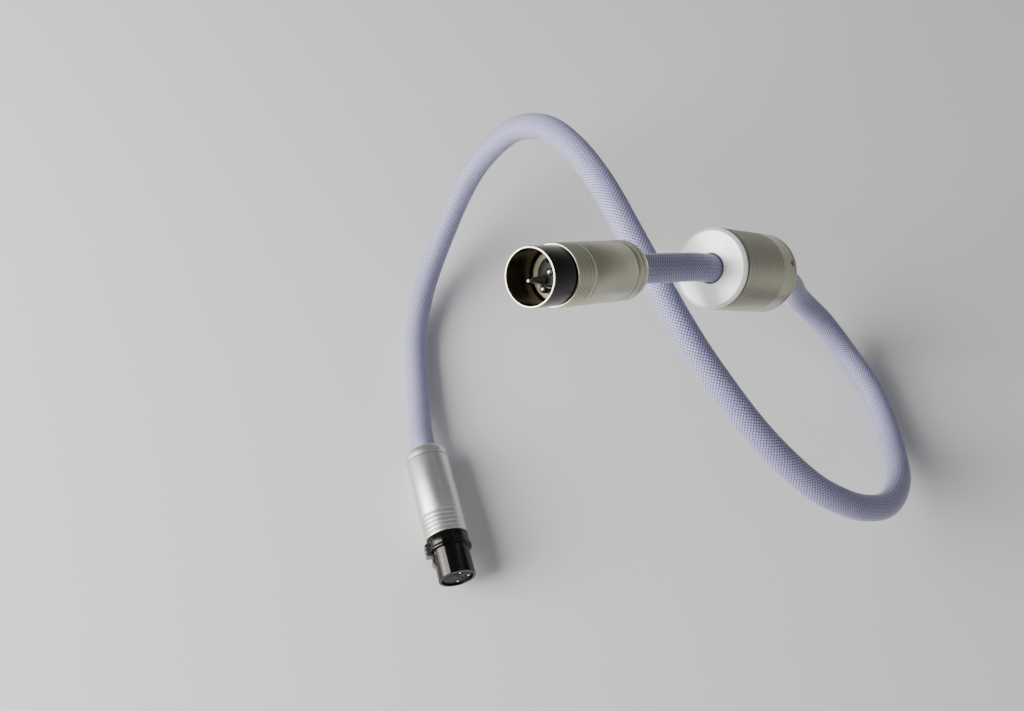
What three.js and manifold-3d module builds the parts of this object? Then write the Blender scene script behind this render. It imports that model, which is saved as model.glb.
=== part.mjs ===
// A short stiff microphone cable: a three-pin male plug, an in-line filter barrel near it, and a
// three-pole female socket with a push latch at the other end. Millimetres, +Z up, standing on z = 0.
// The origin is under the middle of the two connectors and the barrel, and the female end faces -Y.
import * as THREE from "three";
import { mergeVertices } from "three/addons/utils/BufferGeometryUtils.js";
import Module from "manifold-3d";

const wasm = await Module();
wasm.setup();

// ---- Driving dimensions ----
const GAP = 0.3; // between pieces that touch on the real object
const ROUND = 32; // sides of a large turned piece
const FINE = 16; // sides of a small turned piece

const CABLE_DIAMETER = 10.7;
const CABLE_SIDES = 12;
const CABLE_STEPS = 76;
const MALE_GRIP_SHARE = 0.268; // share of each connector that the cable reaches into
const FEMALE_GRIP_SHARE = 0.246;

const CONTACT_CIRCLE_RADIUS = 4.15; // three contacts a quarter turn apart
const PIN_DIAMETER = 2.4;
const PIN_REACH = 8.6; // pin beyond the insulator's face
const SOCKET_WALL = 0.35;
const SOCKET_RUNNING = 0.05; // clearance around a pin in a socket
const CUP_DEPTH = 4; // solder cup at the back of a contact
const WIRE_DIAMETER = 1.6;
const WIRE_SIDES = 8;
const WIRE_STEPS = 10;

const MALE_LENGTH = 56;
const MALE_SLEEVE_DIAMETER = 20.5;
const MALE_SHELL_DIAMETER = 19;
const MALE_SHELL_WALL = 0.8;
const MALE_SHELL_SHOWN = 12; // bright shell beyond the sleeve
const MALE_SOCKET_DEPTH = 13; // from the rim to the insulator's face
const MALE_INSERT_LENGTH = 11;
const MALE_RING_WIDTH = 1.5; // metal ring around the insulator
const MALE_ROLL = 62; // degrees, keyway from straight up
const MALE_RINGS = [1.3, 2.6, 3.9, 5.2, 6.5, 7.8, 10.2]; // turned grooves, back from the sleeve's rim
const MALE_TAIL_GROOVES = [3.4]; // turned grooves, ahead of the rear cap

const FEMALE_LENGTH = 61;
const FEMALE_SLEEVE_DIAMETER = 18.6;
const FEMALE_NOSE_DIAMETER = 15.8;
const FEMALE_NOSE_LENGTH = 12.6;
const FEMALE_NOSE_WALL = 1.2;
const FEMALE_COLLAR_LENGTH = 6; // dark collar between sleeve and nose, flange included
const FEMALE_COLLAR_DIAMETER = 17.6;
const FEMALE_FLANGE_DIAMETER = 18.6;
const FEMALE_FLANGE_LENGTH = 1.3;
const FEMALE_INSERT_LENGTH = 22;
const FEMALE_ROLL = 80; // degrees, latch from straight up
const FEMALE_RINGS = [1.9, 3.8, 5.7, 7.6, 9.8];
const FEMALE_TAIL_GROOVES = [];

const CAP_LENGTH = 5; // rounded rear cap of each connector
const CAP_END_DIAMETER = 14.6;
const CAP_SPIGOT_LENGTH = 4.5;
const SLEEVE_WALL = 1.1;
const RING_DEPTH = 0.35;
const RING_WIDTH = 0.7;

const CHUCK_LENGTH = 12;
const CHUCK_WALL = 1.2;
const CHUCK_SLOT = 1.6;

const LATCH_WIDTH = 4.4;
const LATCH_ARM = 10.2; // pivot to the end of the arm
const LATCH_THICKNESS = 1;
const LATCH_UNDERCUT = 0.3; // how far the arm thickens inwards at its pivot
const LATCH_TAB_HEIGHT = 1.8; // ribbed tab above the collar, reaching over the flange
const LATCH_TAB_LENGTH = 5.6;
const LATCH_TOOTH_HEIGHT = 0.9; // tooth above the nose
const LATCH_PIN_DIAMETER = 0.9;
const LATCH_SLACK = 0.3; // room at each side of the lever
const LATCH_RIBS = 3;

const BARREL_LENGTH = 41;
const BARREL_DIAMETER = 30.8;
const BARREL_WALL = 2.2;
const BARREL_CAP_LENGTH = 3.6; // rounded rear cap
const BARREL_FRONT_LENGTH = 2.5; // flat front cap
const BARREL_SKIRT_LENGTH = 4; // of each cap, inside the body
const BARREL_CHAMFER = 1.3;
const BARREL_CHAMFER_LENGTH = 0.8;
const BARREL_RIDGES = 17;
const BARREL_RIDGE_PITCH = 1.5;
const BARREL_RIDGE_DEPTH = 0.4;
const BARREL_RIDGE_START = 1.5; // plain ring ahead of the first ridge
const CORE_WALL = 5;
const BUSH_WALL = 1.8;
const BUSH_LENGTH = 5;
const GRUB_DIAMETER = 2;
const GRUB_PLACE = 1.7; // screw's middle, ahead of the body's rear end
const GRUB_TURNS = [-28, 152]; // degrees round the barrel

// Where each sub-assembly's axis starts at the back, and the way it points, towards its front.
const FEMALE_BACK = new THREE.Vector3(-70.2, 2.3, 9.1);
const FEMALE_WAY = new THREE.Vector3(15.5, -58.2, 4.5).normalize();
const MALE_BACK = new THREE.Vector3(6.5, 7.8, 150.6);
const MALE_WAY = new THREE.Vector3(-34.2, -26.4, 38).normalize();
const BARREL_BACK = new THREE.Vector3(68.5, 45.2, 88.4);
const BARREL_WAY = new THREE.Vector3(-26.7, -14.7, 27.2).normalize();

// The cable's free line from the female end to the barrel's back, in the order it runs.
const CABLE_LINE = [
  [-75, 37, 5.9], [-76.7, 60.5, 5.6], [-74.8, 80, 8.7], [-70.7, 94, 13.7], [-62.6, 111.3, 25],
  [-55, 121.5, 39], [-46.6, 126.7, 54], [-32, 123.3, 80], [-18.4, 107.9, 101.5], [-7.6, 87.9, 114],
  [2.3, 65.7, 120.5], [10.8, 44.8, 121.5], [19.8, 25.7, 118.5], [28.9, 8.6, 114],
  [37.5, -4.4, 108.5], [59, -27.3, 92.3], [80.6, -39.4, 74.4], [94, -41.5, 63],
  [106, -39.9, 51.6], [120.6, -32.1, 35.5], [132.8, -14.4, 17.7], [135.6, -1.1, 10.3],
  [135.2, 17, 5.9], [131, 34.6, 5.8], [120.5, 51.5, 10.2], [108.6, 60.9, 21.5],
  [93.6, 61.8, 41.4], [85.7, 57.7, 59.9],
];

// ---- Tools ----
const material = (color, roughness, metalness) =>
  new THREE.MeshStandardMaterial({ color, roughness, metalness });
const FINISH = {
  sleeve: material(0xb9b7ad, 0.35, 1),
  nickel: material(0x2a2723, 0.12, 1),
  bronze: material(0xa79468, 0.35, 1),
  plastic: material(0x2b2d2f, 0.5, 0),
  contact: material(0xd8d4cc, 0.15, 1),
  braid: material(0xa5a4d6, 0.6, 0),
  wire: [material(0xb02a24, 0.5, 0), material(0xd9d6cf, 0.5, 0), material(0x3a6a45, 0.5, 0)],
  clamp: material(0x3b3b3d, 0.6, 0),
  steel: material(0x8d8d8f, 0.3, 1),
  ferrite: material(0x303033, 0.7, 0),
  rubber: material(0x1c1c1e, 0.8, 0),
};

function named(name, geometry, finish) {
  const mesh = new THREE.Mesh(geometry, finish);
  mesh.name = name;
  return mesh;
}

// A turned piece about +Z from [radius, z] corners, up its outside and down its inside.
function turned(corners, sides = ROUND) {
  const line = corners.map(([r, z]) => new THREE.Vector2(r, z));
  return new THREE.LatheGeometry(line, sides).rotateX(Math.PI / 2);
}

function tube(outer, inner, from, to, sides = ROUND) {
  return turned([[inner, from], [outer, from], [outer, to], [inner, to], [inner, from]], sides);
}

function rod(radius, from, to, sides = FINE) {
  return turned([[0, from], [radius, from], [radius, to], [0, to]], sides);
}

// A round bar along a curve. An arc is drawn with two points for each of its segments.
function swept(radius, sides, steps, path) {
  const section = new THREE.Shape().absarc(0, 0, radius, 0, Math.PI * 2);
  return new THREE.ExtrudeGeometry(section, { steps, curveSegments: sides / 2, extrudePath: path });
}

function toSolid(geometry) {
  const bare = geometry.clone();
  bare.deleteAttribute("normal");
  bare.deleteAttribute("uv");
  const joined = mergeVertices(bare, 1e-4);
  return new wasm.Manifold(new wasm.Mesh({
    numProp: 3,
    vertProperties: new Float32Array(joined.attributes.position.array),
    triVerts: new Uint32Array(joined.index.array),
  }));
}

function toGeometry(solid) {
  const { vertProperties, triVerts } = solid.getMesh();
  const geometry = new THREE.BufferGeometry();
  geometry.setAttribute("position", new THREE.BufferAttribute(new Float32Array(vertProperties), 3));
  geometry.setIndex(new THREE.BufferAttribute(new Uint32Array(triVerts), 1));
  return geometry;
}

function cut(geometry, ...cutters) {
  return toGeometry(cutters.reduce((left, cutter) => left.subtract(toSolid(cutter)), toSolid(geometry)));
}

// V grooves in a turned outside, as corners in order up the piece.
function grooves(radius, depth, width, places) {
  return places.flatMap((z) => [[radius, z - width / 2], [radius - depth, z], [radius, z + width / 2]]);
}

// Corners of a quarter round from [fromRadius, fromZ] to [toRadius, toZ], bulging outwards.
function shoulder(fromRadius, toRadius, fromZ, toZ, steps = 5) {
  return Array.from({ length: steps + 1 }, (_, i) => {
    const turn = (i / steps) * (Math.PI / 2);
    return [
      fromRadius + (toRadius - fromRadius) * Math.sin(turn),
      fromZ + (toZ - fromZ) * (1 - Math.cos(turn)),
    ];
  });
}

// A group at an axis's start, with +Z along the axis and +X turned by roll from straight up.
function station(start, way, rollDegrees = 0) {
  const up = new THREE.Vector3(0, 0, 1).addScaledVector(way, -way.z).normalize();
  up.applyAxisAngle(way, THREE.MathUtils.degToRad(rollDegrees));
  const side = new THREE.Vector3().crossVectors(way, up);
  const group = new THREE.Group();
  group.position.copy(start);
  group.setRotationFromMatrix(new THREE.Matrix4().makeBasis(up, side, way));
  return group;
}

// Where the three contacts sit: one opposite +X and one at each side of it.
const CONTACT_TURNS = [90, 270, 180].map(THREE.MathUtils.degToRad);
const contactPlace = (i) => new THREE.Vector2(
  CONTACT_CIRCLE_RADIUS * Math.cos(CONTACT_TURNS[i]),
  CONTACT_CIRCLE_RADIUS * Math.sin(CONTACT_TURNS[i]),
);

const CABLE_RADIUS = CABLE_DIAMETER / 2;
const MALE_GRIP = MALE_LENGTH * MALE_GRIP_SHARE;
const FEMALE_GRIP = FEMALE_LENGTH * FEMALE_GRIP_SHARE;
const CABLE_HOLE_RADIUS = CABLE_RADIUS + GAP;
const PIN_RADIUS = PIN_DIAMETER / 2;
const SOCKET_RADIUS = PIN_RADIUS + SOCKET_RUNNING + SOCKET_WALL;
const CUP_RADIUS = WIRE_DIAMETER / 2 + GAP;
const CHUCK_RADIUS = CABLE_HOLE_RADIUS + CHUCK_WALL;

// ---- Sleeve, rear cap, chuck and wires, alike on both connectors ----
function addSleeve(group, name, diameter, from, to, tails, rings) {
  const outer = diameter / 2;
  const inner = outer - SLEEVE_WALL;
  const places = [
    ...tails.map((ahead) => from + ahead), ...rings.toReversed().map((back) => to - back),
  ];
  const marks = grooves(outer, RING_DEPTH, RING_WIDTH, places);
  group.add(named(`${name}_sleeve`, turned([
    [inner, from], [outer, from], ...marks, [outer, to - RING_DEPTH], [outer - RING_DEPTH, to],
    [inner, to], [inner, from],
  ]), FINISH.sleeve));
}

function addRearCap(group, name, diameter) {
  const outer = diameter / 2;
  const spigot = outer - SLEEVE_WALL - GAP;
  group.add(named(`${name}_rear_cap`, turned([
    [CABLE_HOLE_RADIUS, 0], ...shoulder(CAP_END_DIAMETER / 2, outer, 0, CAP_LENGTH * 0.75),
    [outer, CAP_LENGTH], [spigot, CAP_LENGTH], [spigot, CAP_LENGTH + CAP_SPIGOT_LENGTH],
    [CHUCK_RADIUS + GAP, CAP_LENGTH + CAP_SPIGOT_LENGTH], [CHUCK_RADIUS + GAP, CAP_LENGTH * 0.5],
    [CABLE_HOLE_RADIUS, CAP_LENGTH * 0.5], [CABLE_HOLE_RADIUS, 0],
  ]), FINISH.sleeve));
}

function addChuck(group, name) {
  const from = CAP_LENGTH * 0.5 + GAP;
  const body = turned([
    [CABLE_HOLE_RADIUS, from], [CHUCK_RADIUS - 0.6, from], [CHUCK_RADIUS, from + 2],
    [CHUCK_RADIUS, from + CHUCK_LENGTH], [CABLE_HOLE_RADIUS, from + CHUCK_LENGTH],
    [CABLE_HOLE_RADIUS, from],
  ], ROUND);
  const slot = new THREE.BoxGeometry(CHUCK_RADIUS * 2, CHUCK_SLOT, CHUCK_LENGTH + 4);
  slot.translate(CHUCK_RADIUS, 0, from + CHUCK_LENGTH / 2);
  group.add(named(`${name}_cable_clamp`, cut(body, slot), FINISH.clamp));
}

// Three insulated wires fan out from the cable's end to the contacts' solder cups.
function addWires(group, name, grip, cupFloor) {
  const start = grip + GAP;
  for (let i = 0; i < 3; i++) {
    const out = contactPlace(i);
    const near = out.clone().multiplyScalar(0.42);
    const leaving = (cupFloor - start) / 5;
    const entering = CUP_DEPTH / 2 + 1;
    const line = new THREE.CatmullRomCurve3([
      new THREE.Vector3(near.x, near.y, start),
      new THREE.Vector3(near.x, near.y, start + leaving),
      new THREE.Vector3(out.x, out.y, cupFloor - entering),
      new THREE.Vector3(out.x, out.y, cupFloor),
    ]);
    const wire = swept(WIRE_DIAMETER / 2, WIRE_SIDES, WIRE_STEPS, line);
    group.add(named(`${name}_wire_${i + 1}`, wire, FINISH.wire[i]));
  }
}

// ---- Male connector ----
const MALE_SLEEVE_END = MALE_LENGTH - MALE_SHELL_SHOWN;
const MALE_FACE = MALE_LENGTH - MALE_SOCKET_DEPTH; // the insulator's face
const MALE_INSERT_BACK = MALE_FACE - MALE_INSERT_LENGTH;
const MALE_SHELL_INNER = MALE_SHELL_DIAMETER / 2 - MALE_SHELL_WALL;

function maleShell() {
  const outer = MALE_SHELL_DIAMETER / 2;
  const waist = MALE_SLEEVE_DIAMETER / 2 - SLEEVE_WALL - GAP; // the part inside the sleeve
  const lip = 0.25; // rounding of the rim
  const step = waist - MALE_SHELL_WALL;
  return turned([
    [step, MALE_INSERT_BACK], [waist, MALE_INSERT_BACK], [waist, MALE_SLEEVE_END + GAP],
    [outer, MALE_SLEEVE_END + GAP], [outer, MALE_LENGTH - lip], [outer - lip, MALE_LENGTH],
    [MALE_SHELL_INNER + lip, MALE_LENGTH], [MALE_SHELL_INNER, MALE_LENGTH - lip],
    [MALE_SHELL_INNER, MALE_FACE], [step, MALE_FACE - 1], [step, MALE_INSERT_BACK],
  ]);
}

function buildMale() {
  const group = station(MALE_BACK, MALE_WAY, MALE_ROLL);
  const waist = MALE_SLEEVE_DIAMETER / 2 - SLEEVE_WALL - GAP;
  const ringOuter = Math.min(waist - MALE_SHELL_WALL, MALE_SHELL_INNER) - GAP;
  const ringInner = ringOuter - MALE_RING_WIDTH;
  const insertRadius = ringInner - GAP;
  const cupFloor = MALE_INSERT_BACK - 2;
  addRearCap(group, "male", MALE_SLEEVE_DIAMETER);
  addSleeve(group, "male", MALE_SLEEVE_DIAMETER, CAP_LENGTH + GAP, MALE_SLEEVE_END,
    MALE_TAIL_GROOVES, MALE_RINGS);
  addChuck(group, "male");
  group.add(named("male_shell", maleShell(), FINISH.nickel));
  group.add(named("male_insert_ring", tube(ringOuter, ringInner, MALE_INSERT_BACK, MALE_FACE),
    FINISH.bronze));

  const holes = [0, 1, 2].map((i) => rod(PIN_RADIUS + GAP, MALE_INSERT_BACK - 1, MALE_FACE + 1)
    .translate(contactPlace(i).x, contactPlace(i).y, 0));
  const keyway = new THREE.BoxGeometry(3, 2.2, MALE_INSERT_LENGTH)
    .translate(insertRadius, 0, MALE_FACE - MALE_INSERT_LENGTH / 2 + 1.5);
  const insert = cut(rod(insertRadius, MALE_INSERT_BACK, MALE_FACE - GAP, ROUND), ...holes, keyway);
  group.add(named("male_insert", insert, FINISH.plastic));

  for (let i = 0; i < 3; i++) {
    const tip = MALE_FACE + PIN_REACH;
    const pin = turned([
      [0, cupFloor + CUP_DEPTH / 2], [CUP_RADIUS, cupFloor + CUP_DEPTH / 2],
      [CUP_RADIUS, cupFloor - CUP_DEPTH / 2], [PIN_RADIUS + 0.25, cupFloor - CUP_DEPTH / 2],
      [PIN_RADIUS + 0.25, MALE_INSERT_BACK - GAP], [PIN_RADIUS, MALE_INSERT_BACK - GAP],
      [PIN_RADIUS, tip - 1.1], [PIN_RADIUS * 0.8, tip - 0.4], [PIN_RADIUS * 0.35, tip], [0, tip],
    ], FINE).translate(contactPlace(i).x, contactPlace(i).y, 0);
    group.add(named(`male_pin_${i + 1}`, pin, FINISH.contact));
  }
  addWires(group, "male", MALE_GRIP, cupFloor);
  return group;
}

// ---- Female connector ----
const FEMALE_NOSE_START = FEMALE_LENGTH - FEMALE_NOSE_LENGTH;
const FEMALE_SLEEVE_END = FEMALE_NOSE_START - FEMALE_COLLAR_LENGTH;
const FEMALE_BORE = FEMALE_NOSE_DIAMETER / 2 - FEMALE_NOSE_WALL;
const FEMALE_FACE = FEMALE_LENGTH - 0.6; // the insulator's face, just inside the nose
const FEMALE_INSERT_BACK = FEMALE_FACE - FEMALE_INSERT_LENGTH;
const LATCH_PIVOT_Z = FEMALE_SLEEVE_END + GAP + 1.5;
const LATCH_BOTTOM = FEMALE_NOSE_DIAMETER / 2 - 0.7; // inner face of the latch's arm
const LATCH_PIVOT_RADIUS = LATCH_BOTTOM + LATCH_THICKNESS / 2;
const LATCH_EYE_RADIUS = 0.95;

function femaleHousing() {
  const collar = FEMALE_COLLAR_DIAMETER / 2;
  const flange = FEMALE_FLANGE_DIAMETER / 2;
  const nose = FEMALE_NOSE_DIAMETER / 2;
  const waist = FEMALE_SLEEVE_DIAMETER / 2 - SLEEVE_WALL - GAP;
  const body = turned([
    [FEMALE_BORE, FEMALE_INSERT_BACK], [waist, FEMALE_INSERT_BACK], [waist, FEMALE_SLEEVE_END + GAP],
    [collar, FEMALE_SLEEVE_END + GAP], [collar, FEMALE_NOSE_START - FEMALE_FLANGE_LENGTH],
    [flange, FEMALE_NOSE_START - FEMALE_FLANGE_LENGTH], [flange, FEMALE_NOSE_START],
    [nose, FEMALE_NOSE_START], [nose, FEMALE_LENGTH - 0.6], [nose - 0.6, FEMALE_LENGTH],
    [FEMALE_BORE, FEMALE_LENGTH], [FEMALE_BORE, FEMALE_INSERT_BACK],
  ]);
  const slotLength = LATCH_ARM + LATCH_EYE_RADIUS + 2 * LATCH_SLACK;
  const slot = new THREE.BoxGeometry(flange, LATCH_WIDTH + 2 * LATCH_SLACK, slotLength);
  slot.translate(FEMALE_BORE - 0.5 + flange / 2, 0,
    LATCH_PIVOT_Z - LATCH_EYE_RADIUS - LATCH_SLACK + slotLength / 2);
  const pinHole = rod(LATCH_PIN_DIAMETER / 2 + 0.1, -LATCH_WIDTH, LATCH_WIDTH, 12).rotateX(Math.PI / 2)
    .translate(LATCH_PIVOT_RADIUS, 0, LATCH_PIVOT_Z);
  return cut(body, slot, pinHole);
}

// The lever's side outline, drawn with x along the connector's axis and y outwards.
function latchLever() {
  const collar = FEMALE_COLLAR_DIAMETER / 2;
  const top = LATCH_BOTTOM + LATCH_THICKNESS;
  const tabFrom = LATCH_PIVOT_Z;
  const tabTop = collar + LATCH_TAB_HEIGHT;
  const ribPitch = LATCH_TAB_LENGTH / LATCH_RIBS;
  const end = LATCH_PIVOT_Z + LATCH_ARM;
  const outline = new THREE.Shape();
  outline.moveTo(LATCH_PIVOT_Z, LATCH_BOTTOM - LATCH_UNDERCUT);
  outline.lineTo(end, LATCH_BOTTOM);
  outline.lineTo(end, top - 0.3);
  outline.lineTo(end - 0.5, FEMALE_NOSE_DIAMETER / 2 + LATCH_TOOTH_HEIGHT * 0.4);
  outline.lineTo(end - 1.8, FEMALE_NOSE_DIAMETER / 2 + LATCH_TOOTH_HEIGHT);
  outline.lineTo(end - 2.6, FEMALE_NOSE_DIAMETER / 2 + LATCH_TOOTH_HEIGHT);
  outline.lineTo(end - 2.8, top);
  outline.lineTo(tabFrom + LATCH_TAB_LENGTH, top);
  for (let i = LATCH_RIBS; i > 0; i--) {
    const at = tabFrom + ribPitch * i;
    outline.lineTo(at, tabTop - 0.9);
    outline.lineTo(at - ribPitch * 0.3, tabTop);
    outline.lineTo(at - ribPitch * 0.7, tabTop);
  }
  outline.lineTo(tabFrom, tabTop - 0.9);
  outline.absarc(LATCH_PIVOT_Z, LATCH_PIVOT_RADIUS, LATCH_EYE_RADIUS, Math.PI / 2, Math.PI * 1.5);
  const lever = new THREE.ExtrudeGeometry(outline, {
    depth: LATCH_WIDTH, bevelEnabled: false, curveSegments: 8,
  });
  // Turned so that the outline's x runs along +Z and its y along +X.
  lever.translate(0, 0, -LATCH_WIDTH / 2);
  lever.applyMatrix4(new THREE.Matrix4().set(0, 1, 0, 0, 0, 0, 1, 0, 1, 0, 0, 0, 0, 0, 0, 1));
  const eye = rod(LATCH_PIN_DIAMETER / 2 + 0.1, -LATCH_WIDTH, LATCH_WIDTH, 12).rotateX(Math.PI / 2)
    .translate(LATCH_PIVOT_RADIUS, 0, LATCH_PIVOT_Z);
  return cut(lever, eye);
}

// A leaf that lies on the insulator's flat and lifts the lever near its pivot.
function latchSpring(flat) {
  const thickness = 0.25;
  const from = LATCH_PIVOT_Z + 1.2;
  const rise = LATCH_BOTTOM - LATCH_UNDERCUT - GAP - thickness;
  const low = flat + GAP / 2;
  const leaf = new THREE.Shape();
  leaf.moveTo(from, rise);
  leaf.lineTo(from + 3, low);
  leaf.lineTo(from + 8, low);
  leaf.lineTo(from + 8, low + thickness);
  leaf.lineTo(from + 3, low + thickness);
  leaf.lineTo(from, rise + thickness);
  const spring = new THREE.ExtrudeGeometry(leaf, { depth: 3, bevelEnabled: false });
  spring.translate(0, 0, -1.5);
  spring.applyMatrix4(new THREE.Matrix4().set(0, 1, 0, 0, 0, 0, 1, 0, 1, 0, 0, 0, 0, 0, 0, 1));
  return spring;
}

function buildFemale() {
  const group = station(FEMALE_BACK, FEMALE_WAY, FEMALE_ROLL);
  const insertRadius = FEMALE_BORE - GAP;
  const flat = insertRadius - 0.55; // under the latch
  const cupFloor = FEMALE_INSERT_BACK - 2;
  addRearCap(group, "female", FEMALE_SLEEVE_DIAMETER);
  addSleeve(group, "female", FEMALE_SLEEVE_DIAMETER, CAP_LENGTH + GAP, FEMALE_SLEEVE_END,
    FEMALE_TAIL_GROOVES, FEMALE_RINGS);
  addChuck(group, "female");
  group.add(named("female_housing", femaleHousing(), FINISH.nickel));

  const holes = [0, 1, 2].map((i) => rod(SOCKET_RADIUS + GAP / 2, FEMALE_INSERT_BACK - 1, FEMALE_FACE + 1)
    .translate(contactPlace(i).x, contactPlace(i).y, 0));
  const bed = new THREE.BoxGeometry(4, 2 * insertRadius, FEMALE_INSERT_LENGTH - 3)
    .translate(flat + 2, 0, FEMALE_INSERT_BACK + (FEMALE_INSERT_LENGTH - 3) / 2 - 1);
  const insert = cut(rod(insertRadius, FEMALE_INSERT_BACK, FEMALE_FACE, ROUND), ...holes, bed);
  group.add(named("female_insert", insert, FINISH.plastic));

  for (let i = 0; i < 3; i++) {
    const mouth = FEMALE_FACE - 0.5;
    const bore = PIN_RADIUS + SOCKET_RUNNING;
    const socket = turned([
      [0, cupFloor + CUP_DEPTH / 2], [CUP_RADIUS, cupFloor + CUP_DEPTH / 2],
      [CUP_RADIUS, cupFloor - CUP_DEPTH / 2], [SOCKET_RADIUS, cupFloor - CUP_DEPTH / 2],
      [SOCKET_RADIUS, mouth], [bore, mouth],
      [bore, mouth - PIN_REACH - 2], [0, mouth - PIN_REACH - 2],
    ], FINE).translate(contactPlace(i).x, contactPlace(i).y, 0);
    group.add(named(`female_socket_${i + 1}`, socket, FINISH.contact));
  }
  addWires(group, "female", FEMALE_GRIP, cupFloor);

  group.add(named("latch_lever", latchLever(), FINISH.nickel));
  const pin = rod(LATCH_PIN_DIAMETER / 2, -LATCH_WIDTH * 0.8, LATCH_WIDTH * 0.8, 12)
    .rotateX(Math.PI / 2).translate(LATCH_PIVOT_RADIUS, 0, LATCH_PIVOT_Z);
  group.add(named("latch_pivot_pin", pin, FINISH.steel));
  group.add(named("latch_spring", latchSpring(flat), FINISH.steel));
  return group;
}

// ---- Filter barrel ----
function barrelBody(from, to) {
  const outer = BARREL_DIAMETER / 2;
  const first = to - BARREL_RIDGE_START - BARREL_RIDGE_PITCH * (BARREL_RIDGES - 1);
  const ridges = Array.from({ length: BARREL_RIDGES }, (_, i) => first + BARREL_RIDGE_PITCH * i)
    .flatMap((z) => [[outer - BARREL_RIDGE_DEPTH, z], [outer, z + BARREL_RIDGE_PITCH / 2]]);
  const body = turned([
    [outer - BARREL_WALL, from], [outer, from],
    [outer, first - BARREL_RIDGE_PITCH / 2], ...ridges,
    [outer, to], [outer - BARREL_WALL, to], [outer - BARREL_WALL, from],
  ]);
  const holes = GRUB_TURNS.map((turn) => grubPlace(rod(GRUB_DIAMETER / 2 + GAP / 2, outer - 5, outer + 1, 12), turn));
  return cut(body, ...holes);
}

// A piece drawn up +Z is laid along a radius, over the rear cap's skirt.
function grubPlace(geometry, turnDegrees) {
  return geometry.rotateY(Math.PI / 2).rotateZ(THREE.MathUtils.degToRad(turnDegrees))
    .translate(0, 0, BARREL_CAP_LENGTH + GAP + GRUB_PLACE);
}

function barrelCap(front) {
  const outer = BARREL_DIAMETER / 2;
  const skirt = outer - BARREL_WALL - GAP;
  const bush = CABLE_HOLE_RADIUS + BUSH_WALL + GAP;
  const ledge = 1.4; // the plate that closes over the bush
  const length = front ? BARREL_FRONT_LENGTH : BARREL_CAP_LENGTH;
  const end = front ? [[outer - BARREL_CHAMFER, 0], [outer, BARREL_CHAMFER_LENGTH]]
    : shoulder(outer - 3, outer, 0, BARREL_CAP_LENGTH * 0.8);
  const cap = turned([
    [CABLE_HOLE_RADIUS, 0], ...end, [outer, length], [skirt, length],
    [skirt, length + BARREL_SKIRT_LENGTH], [skirt - 1.5, length + BARREL_SKIRT_LENGTH],
    [skirt - 1.5, length], [bush, length], [bush, ledge],
    [CABLE_HOLE_RADIUS, ledge], [CABLE_HOLE_RADIUS, 0],
  ]);
  return front ? cap.rotateX(Math.PI).translate(0, 0, BARREL_LENGTH) : cap;
}

function buildBarrel() {
  const group = station(BARREL_BACK, BARREL_WAY);
  const outer = BARREL_DIAMETER / 2;
  const bodyFrom = BARREL_CAP_LENGTH + GAP;
  const bodyTo = BARREL_LENGTH - BARREL_FRONT_LENGTH - GAP;
  const screwHoles = GRUB_TURNS.map((turn) => grubPlace(rod(GRUB_DIAMETER / 2 + GAP / 2, outer - 5, outer + 1, 12), turn));
  group.add(named("barrel_front_cap", barrelCap(true), FINISH.sleeve));
  group.add(named("barrel_body", barrelBody(bodyFrom, bodyTo), FINISH.sleeve));
  group.add(named("barrel_rear_cap", cut(barrelCap(false), ...screwHoles), FINISH.sleeve));
  for (const [i, turn] of GRUB_TURNS.entries()) {
    const screw = rod(GRUB_DIAMETER / 2, outer - 3.4, outer - 0.25, 12);
    const hex = new THREE.CylinderGeometry(0.5, 0.5, 1.6, 6).rotateX(Math.PI / 2)
      .translate(0, 0, outer - 0.25);
    group.add(named(`barrel_grub_screw_${i + 1}`, grubPlace(cut(screw, hex), turn), FINISH.steel));
  }

  const coreFrom = BARREL_CAP_LENGTH + BARREL_SKIRT_LENGTH + GAP;
  const coreTo = BARREL_LENGTH - BARREL_FRONT_LENGTH - BARREL_SKIRT_LENGTH - GAP;
  const coreInner = CABLE_HOLE_RADIUS;
  const core = tube(coreInner + CORE_WALL, coreInner, coreFrom, coreTo);
  for (const [i, side] of [-1, 1].entries()) {
    const other = new THREE.BoxGeometry(40, 40, coreTo - coreFrom + 2)
      .translate(0, side * (20 - GAP / 2), (coreFrom + coreTo) / 2);
    group.add(named(`filter_core_half_${i + 1}`, cut(core, other), FINISH.ferrite));
  }
  group.add(named("filter_core_case", tube(coreInner + CORE_WALL + GAP + 1, coreInner + CORE_WALL + GAP,
    coreFrom, coreTo), FINISH.clamp));

  const bushOuter = CABLE_HOLE_RADIUS + BUSH_WALL;
  const bushFrom = 1.4 + GAP;
  const bush = () => tube(bushOuter, CABLE_HOLE_RADIUS, bushFrom, bushFrom + BUSH_LENGTH, FINE * 2);
  group.add(named("barrel_rear_bush", bush(), FINISH.rubber));
  group.add(named("barrel_front_bush", bush().rotateX(Math.PI).translate(0, 0, BARREL_LENGTH),
    FINISH.rubber));
  return group;
}

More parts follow.
